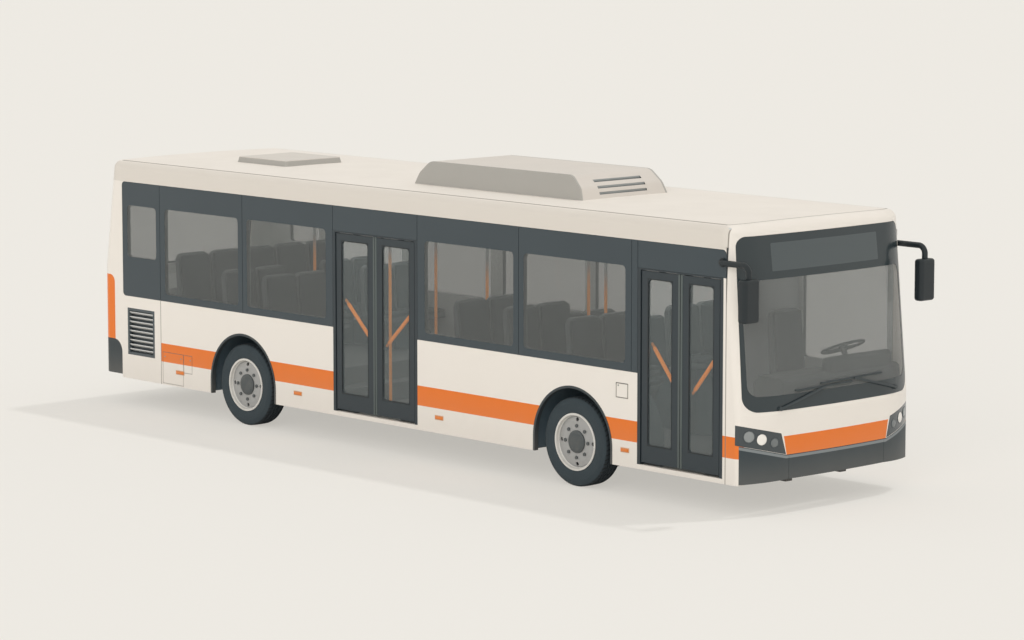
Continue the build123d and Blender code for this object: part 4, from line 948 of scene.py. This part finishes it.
# Outline of half a tyre, from the bead to the middle of the tread: radius, place across from the middle
tyre_outline = [
    (0.288, 0.106), (0.29, 0.114), (0.298, 0.1165), (0.312, 0.1195), (0.322, 0.1235), (0.33, 0.1245),
    (0.34, 0.1262), (0.366, 0.1275), (0.392, 0.1268), (0.398, 0.1278), (0.404, 0.1262), (0.424, 0.1225),
    (0.44, 0.116), (0.452, 0.1085), (0.459, 0.0985), (0.462, 0.088), (0.4625, 0.069), (0.455, 0.067),
    (0.455, 0.06), (0.4632, 0.058), (0.4638, 0.027), (0.455, 0.025), (0.455, 0.018), (0.464, 0.016),
]


def begin_round(name):
    """A new finish, the point, its y, the distance from the wheel's axis and the angle round it."""
    finish, point, x, y, z = begin(name)
    dx = x - wheel_x[0] - x.past(0.0) * (wheel_x[1] - wheel_x[0])
    dz = z - wheel_z
    radius = (dx * dx + dz * dz) ** 0.5
    return finish, point, y, radius, dz.math("ARCTAN2", dx)


def rim_paint():
    finish, point, y, radius, angle = begin_round("silver wheel paint")
    out = abs(y) - track_half
    colour = finish.mix(finish.noise(point, 9.0, 3.0) * 0.5, "AEAEAC", "9A9A98")
    colour = finish.mix(radius.past(disc_edge) * out.past(flange_face), colour, "DEDBD4")
    colour = finish.mix(radius.within(*nut_band) * out.past(nut_face), colour, "4A5154")
    colour = finish.mix((1 - radius.past(hub_r)) * out.past(hub_face), colour, "434B4E")
    # Painted shade: the barrel and the inner side of the wheel, deep in the arch, are darker.
    colour = finish.mix((1 - out.past(barrel_face)) * 0.6, colour, "5A5F60")
    # Dust at random over the wheel: it darkens the paint and makes it rougher.
    darkening = finish.noise(point, 14.0, 4.0) * 0.22
    colour = finish.mix(darkening, colour, "9C958A")
    bumps = finish.bump(finish.noise(point, 90.0, 1.0), 0.0003, 0.5)
    return finish.painted(colour, Metallic=0.15, Roughness=0.42 + 0.1 * darkening, Normal=bumps)


def tyre_rubber():
    finish, point, y, radius, angle = begin_round("tyre rubber")
    tread = radius.past(tread_r, 0.01)
    across = abs(abs(y) - track_half)
    shaded_cuts = (angle * 56.0 + across * 60.0).math("SINE").past(0.72, 0.25) * across.within(*shoulder) * tread
    ribs = (angle * 120.0).math("SINE").past(0.75, 0.3) * tread * (1 - across.past(rib_edge)) * 0.4
    rings = (radius * 260.0 * math.tau).math("SINE") * 0.15 * (1 - tread)
    colour = finish.mix(finish.noise(point, 6.0, 3.0), "3B464B", "343E43")
    # Painted shade: the tread is darker than the sidewalls, and the shoulder cuts are painted near black.
    colour = finish.mix(tread * 0.8, colour, "262D31")
    colour = finish.mix(shaded_cuts, colour, "15191B")
    bumps = finish.bump(rings - shaded_cuts - ribs + 0.2 * finish.noise(point, 240.0, 1.0), 0.004, 0.8)
    return finish.painted(colour, Roughness=0.78, Normal=bumps)


finish_nodes(rim_paint(), *[f"rim_{w}" for w in wheel_names])
rubber = tyre_rubber()
for name in wheel_names:
    x = wheel_x[1] if name.startswith("front") else wheel_x[0]
    y = track_half if name.endswith("left") else -track_half
    tyre = bmesh.new()
    ring = [tyre.verts.new((x + r, y + s, wheel_z)) for r, s in tyre_outline]
    ring += [tyre.verts.new((x + r, y - s, wheel_z)) for r, s in reversed(tyre_outline)]
    loop = [tyre.edges.new((ring[i - 1], ring[i])) for i in range(len(ring))]
    bmesh.ops.spin(tyre, geom=ring + loop, cent=(x, y, wheel_z), axis=(0, 1, 0), angle=math.tau, steps=60,
                   use_merge=True)
    tread = smooth_object(tyre, f"tread_{name}", rubber, f"wheel_{name}", 50.0)
    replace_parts(tread, f"tyre_{name}")

# The driver's instruments: a hooded panel between the wheel and the screen, with two dials.
hood_box = ((4.8, 0.15, 1.12), (4.925, 1.12, 1.43))
hood_round = 0.055
dial_places = (0.56, 0.74)
dial_z = 1.345
dial_back_x, dial_face_x, dial_rim_x = 4.806, 4.797, 4.798
dial_r, dial_face_r, dial_rim_t = 0.052, 0.05, 0.006
hood = bmesh.new()
add_box(hood, *hood_box, hood_round, 6)
smooth_object(hood, "instrument_hood", moulding("instrument hood", "363C3E", 0.6, 300.0, dusty=0.0), "bus")
dials = bmesh.new()
dial_rims = bmesh.new()
for across in dial_places:
    add_rod(dials, (dial_back_x, across, dial_z), (dial_face_x, across, dial_z), dial_r, 36, dial_face_r)
    add_ring(dial_rims, Vector((dial_rim_x, across, dial_z)), Vector((-1, 0, 0)), dial_r, dial_rim_t)
smooth_object(dials, "dials", lens("dark dial glass", "1E2426", 40.0), "bus")
smooth_object(dial_rims, "dial_rims", bezel_metal, "bus")

# Ceiling lamps: two long lit covers that run the length of the saloon, set in from its sides.
ceiling_rows = [(-4.8, -3.2), (-3.1, -0.9), (-0.8, 1.4), (1.5, 3.7)]
ceiling_y = 0.62
ceiling_half_w = 0.07
cover_drop, cover_sunk = 0.022, 0.01
lamp_glow = 5.0
under_roof_z = 1.5
glow = plain("ceiling lamp cover", "F2F2EE", Roughness=0.4, Emission_Color="F6F4EE",
             Emission_Strength=lamp_glow)
covers = bmesh.new()
for rear, front in ceiling_rows:
    for side in (1, -1):
        below = ((rear + front) / 2, side * ceiling_y, under_roof_z)
        roof_z = on_surface("roof", below, (0, 0, 1))[0].z
        y0, y1 = side * ceiling_y - ceiling_half_w, side * ceiling_y + ceiling_half_w
        add_box(covers, (rear, y0, roof_z - cover_drop), (front, y1, roof_z + cover_sunk), 0.01, 3)
smooth_object(covers, "ceiling_lamps", glow, "bus")

# The saloon: grey vinyl on the floors, up to the engine's hump, which is lined like the walls, and coated
# grab poles that are orange at hand height and grey above.
hump_foot_z = 0.745
hump_front_x = -4.04
pole_grey_z = 1.95


def hump_lining(x, y, z):
    return z.past(hump_foot_z) * (1 - x.past(hump_front_x)), lining_tone


def glowing_pole_coat():
    finish, point, x, y, z = begin("coated pole")
    colour = finish.mix(1 - z.past(pole_grey_z, 0.35), "8C8F8D", "FFA03A")
    # Painted glow: the coat gives off a faint light of its own colour, though the poles are no lamps.
    return finish.painted(colour, Roughness=0.35, Emission_Color=colour, Emission_Strength=0.18,
                          Normal=orange_peel(finish, point, 0.0002))


floor_vinyl = moulding("grey vinyl floor", "7C7F7F", 0.6, 400.0, 0.0006, 0.0, hump_lining)
finish_nodes(floor_vinyl, "floor", "rear_floor", "podiums")
finish_nodes(glowing_pole_coat(), "grab_poles")

# Seats: moulded plastic shells on a foot, with foam pads under dark cloth on the pan and the back, and
# two sewn channels down each pad. The shells stand in for the plain ones of the solids.
# Groups of seats: backs' feet along the bus and across it, level that heights count from, high back or not
seat_groups = [
    ((-3.1, -2.38, 2.53), (-0.95, -0.49, 0.49, 0.95), 0.716, False),
    ((-0.7, 0.06, 0.83, 1.6), (0.49, 0.95), 0.36, True),
    ((0.83, 1.6), (-0.95, -0.49), 0.64, True),
    ((-3.925,), (-0.96, -0.48, 0.0, 0.48, 0.96), 0.74, True),
]
seats = [(x, y, z, high) for along, across, z, high in seat_groups for x in along for y in across]
driver_seat_place = (3.86, 0.65, 0.68, True)
# Pads of a pan, and of a low and a high back
pan_pad = (0.36, 0.42, 0.05)
back_pads = [(0.51, 0.41, 0.048), (0.61, 0.41, 0.048)]
pad_corner = 0.02
pad_crown = 0.012
# Channels in a pad, as shares of its half width, and how deep and wide they are
channels = (-0.38, 0.38)
channel_depth, channel_w = 0.007, 0.09


def pad_form(size):
    """A crowned cushion with rounded edges and two channels, lying flat about the origin."""
    pad = bmesh.new()
    bmesh.ops.create_cube(pad, size=1.0)
    bmesh.ops.subdivide_edges(pad, edges=pad.edges, cuts=9, use_grid_fill=True)
    half = Vector(size) / 2
    core = half - Vector((pad_corner, pad_corner, pad_corner))
    for vertex in pad.verts:
        full = Vector([2 * c * h for c, h in zip(vertex.co, half)])
        inner = Vector([max(-c, min(c, f)) for f, c in zip(full, core)])
        away = full - inner
        spot = inner + (away.normalized() * pad_corner if away.length > 1e-9 else away)
        if full.z > 0:
            u, v = full.x / half.x, full.y / half.y
            spot.z += pad_crown * (1 - u * u) * (1 - v * v)
            for channel in channels:
                spot.z -= channel_depth * math.exp(-((v - channel) / channel_w) ** 2)
        vertex.co = spot
    return form_of(pad, "pad form")


def add_form(mesh, form, place, tilt):
    """A copy of a form, turned about Y by tilt and set in its place."""
    count = len(mesh.verts)
    mesh.from_mesh(form)
    mesh.verts.ensure_lookup_table()
    turned = Matrix.Translation(place) @ Matrix.Rotation(tilt, 4, "Y")
    bmesh.ops.transform(mesh, verts=mesh.verts[count:], matrix=turned)


def seat_cloth():
    finish, point, x, y, z = begin("slate seat cloth")
    weave = (x * 420.0 * math.tau).math("SINE") * (z * 420.0 * math.tau).math("SINE")
    fleck = finish.noise(point, 110.0, 2.0)
    colour = finish.mix(fleck * 0.5, "373E41", "30373A")
    colour = finish.mix(finish.noise(point, 4.0, 3.0) * 0.3, colour, "444B4E")
    bumps = finish.bump(weave * 0.5 + fleck, 0.0004, 0.3)
    return finish.painted(colour, Roughness=0.9, Normal=bumps)


shell_half = 0.2225
shell_foot = 0.365
# Upper edge of a low and of a high back
shell_tops = (1.0, 1.1)
shell_corner = 0.075
shell_edge = 0.012
# Front and rear face of a back: a place along the bus, the level of that place, and the lean above it
front_slope = (0.074, 0.424, 0.0962)
back_slope = (-0.008, 0.365, 0.0612)
# Pan and leg: rear, front, half width, top. The pan's foot comes after them.
pan_box = (-0.005, 0.437, shell_half, 0.439)
leg_box = (0.12, 0.18, 0.12, 0.38)
pan_foot = 0.366
# Where the ray starts that finds the floor under a seat
seek_x, seek_z = 0.15, 0.34
# Middle of the pan's pad, middle level of a low and of a high back's pad, and how they are turned
pan_pad_x, pan_pad_z = 0.262, 0.446
back_pad_x = 0.05
back_pad_levels = (0.725, 0.775)
pan_tilt, back_tilt = math.radians(-2.5), math.radians(84.5)


def shell_back(top):
    """A seat back of moulded plastic with rounded upper corners, leaning back."""
    shell = bmesh.new()
    outline = [(-shell_half, shell_foot), (shell_half, shell_foot)]
    for turn in range(0, 91, 15):
        away = Vector((math.cos(math.radians(turn)), math.sin(math.radians(turn)))) * shell_corner
        outline.append((shell_half - shell_corner + away.x, top - shell_corner + away.y))
    outline += [(-across, up) for across, up in reversed(outline[2:])]
    rings, rims = [], []
    for x0, level, slope in (front_slope, back_slope):
        rings.append([shell.verts.new((x0 - slope * (up - level), across, up)) for across, up in outline])
        rims += shell.faces.new(rings[-1]).edges
    for i in range(len(outline)):
        shell.faces.new((rings[0][i - 1], rings[0][i], rings[1][i], rings[1][i - 1]))
    round_edges(shell, rims, shell_edge)
    return form_of(shell, "seat back form")


def under_seat(x, y, z):
    """Level of what a seat stands on."""
    found = [nodes[name].ray_cast(Vector((x, y, z)), Vector((0, 0, -1)))
             for name in ("floor", "rear_floor", "podiums", "wheel_boxes")]
    return max(place.z for hit, place, _, _ in found if hit)


seat_plastic = moulding("grey seat shell", "5F6567", 0.45, 200.0, dusty=0.0)
cloth = seat_cloth()
pan_form = pad_form(pan_pad)
pad_forms = [pad_form(size) for size in back_pads]
back_forms = [shell_back(top) for top in shell_tops]
for name, replaced, places in (("seat_shells", "passenger_seats", seats),
                               ("driver_shell", "driver_seat", [driver_seat_place])):
    shells = bmesh.new()
    for x, y, z, high in places:
        add_form(shells, back_forms[high], (x, y, z), 0.0)
    for x, y, z, high in places:
        foot = under_seat(x + seek_x, y, z + seek_z)
        for (rear, front, half, top), low, radius, steps in ((pan_box, z + pan_foot, 0.018, 3),
                                                             (leg_box, foot, 0.006, 2)):
            add_box(shells, (x + rear, y - half, low), (x + front, y + half, z + top), radius, steps)
    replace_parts(smooth_object(shells, name, seat_plastic, "bus", 40.0), replaced)
for name, places in (("seat_pads", seats), ("driver_pads", [driver_seat_place])):
    pads = bmesh.new()
    for x, y, z, high in places:
        add_form(pads, pan_form, (x + pan_pad_x, y, z + pan_pad_z), pan_tilt)
        level = back_pad_levels[high]
        lean = front_slope[2] * (back_pad_levels[True] - level)
        add_form(pads, pad_forms[high], (x + back_pad_x + lean, y, z + level), back_tilt)
    padded = smooth_object(pads, name, cloth, "bus", 60.0)
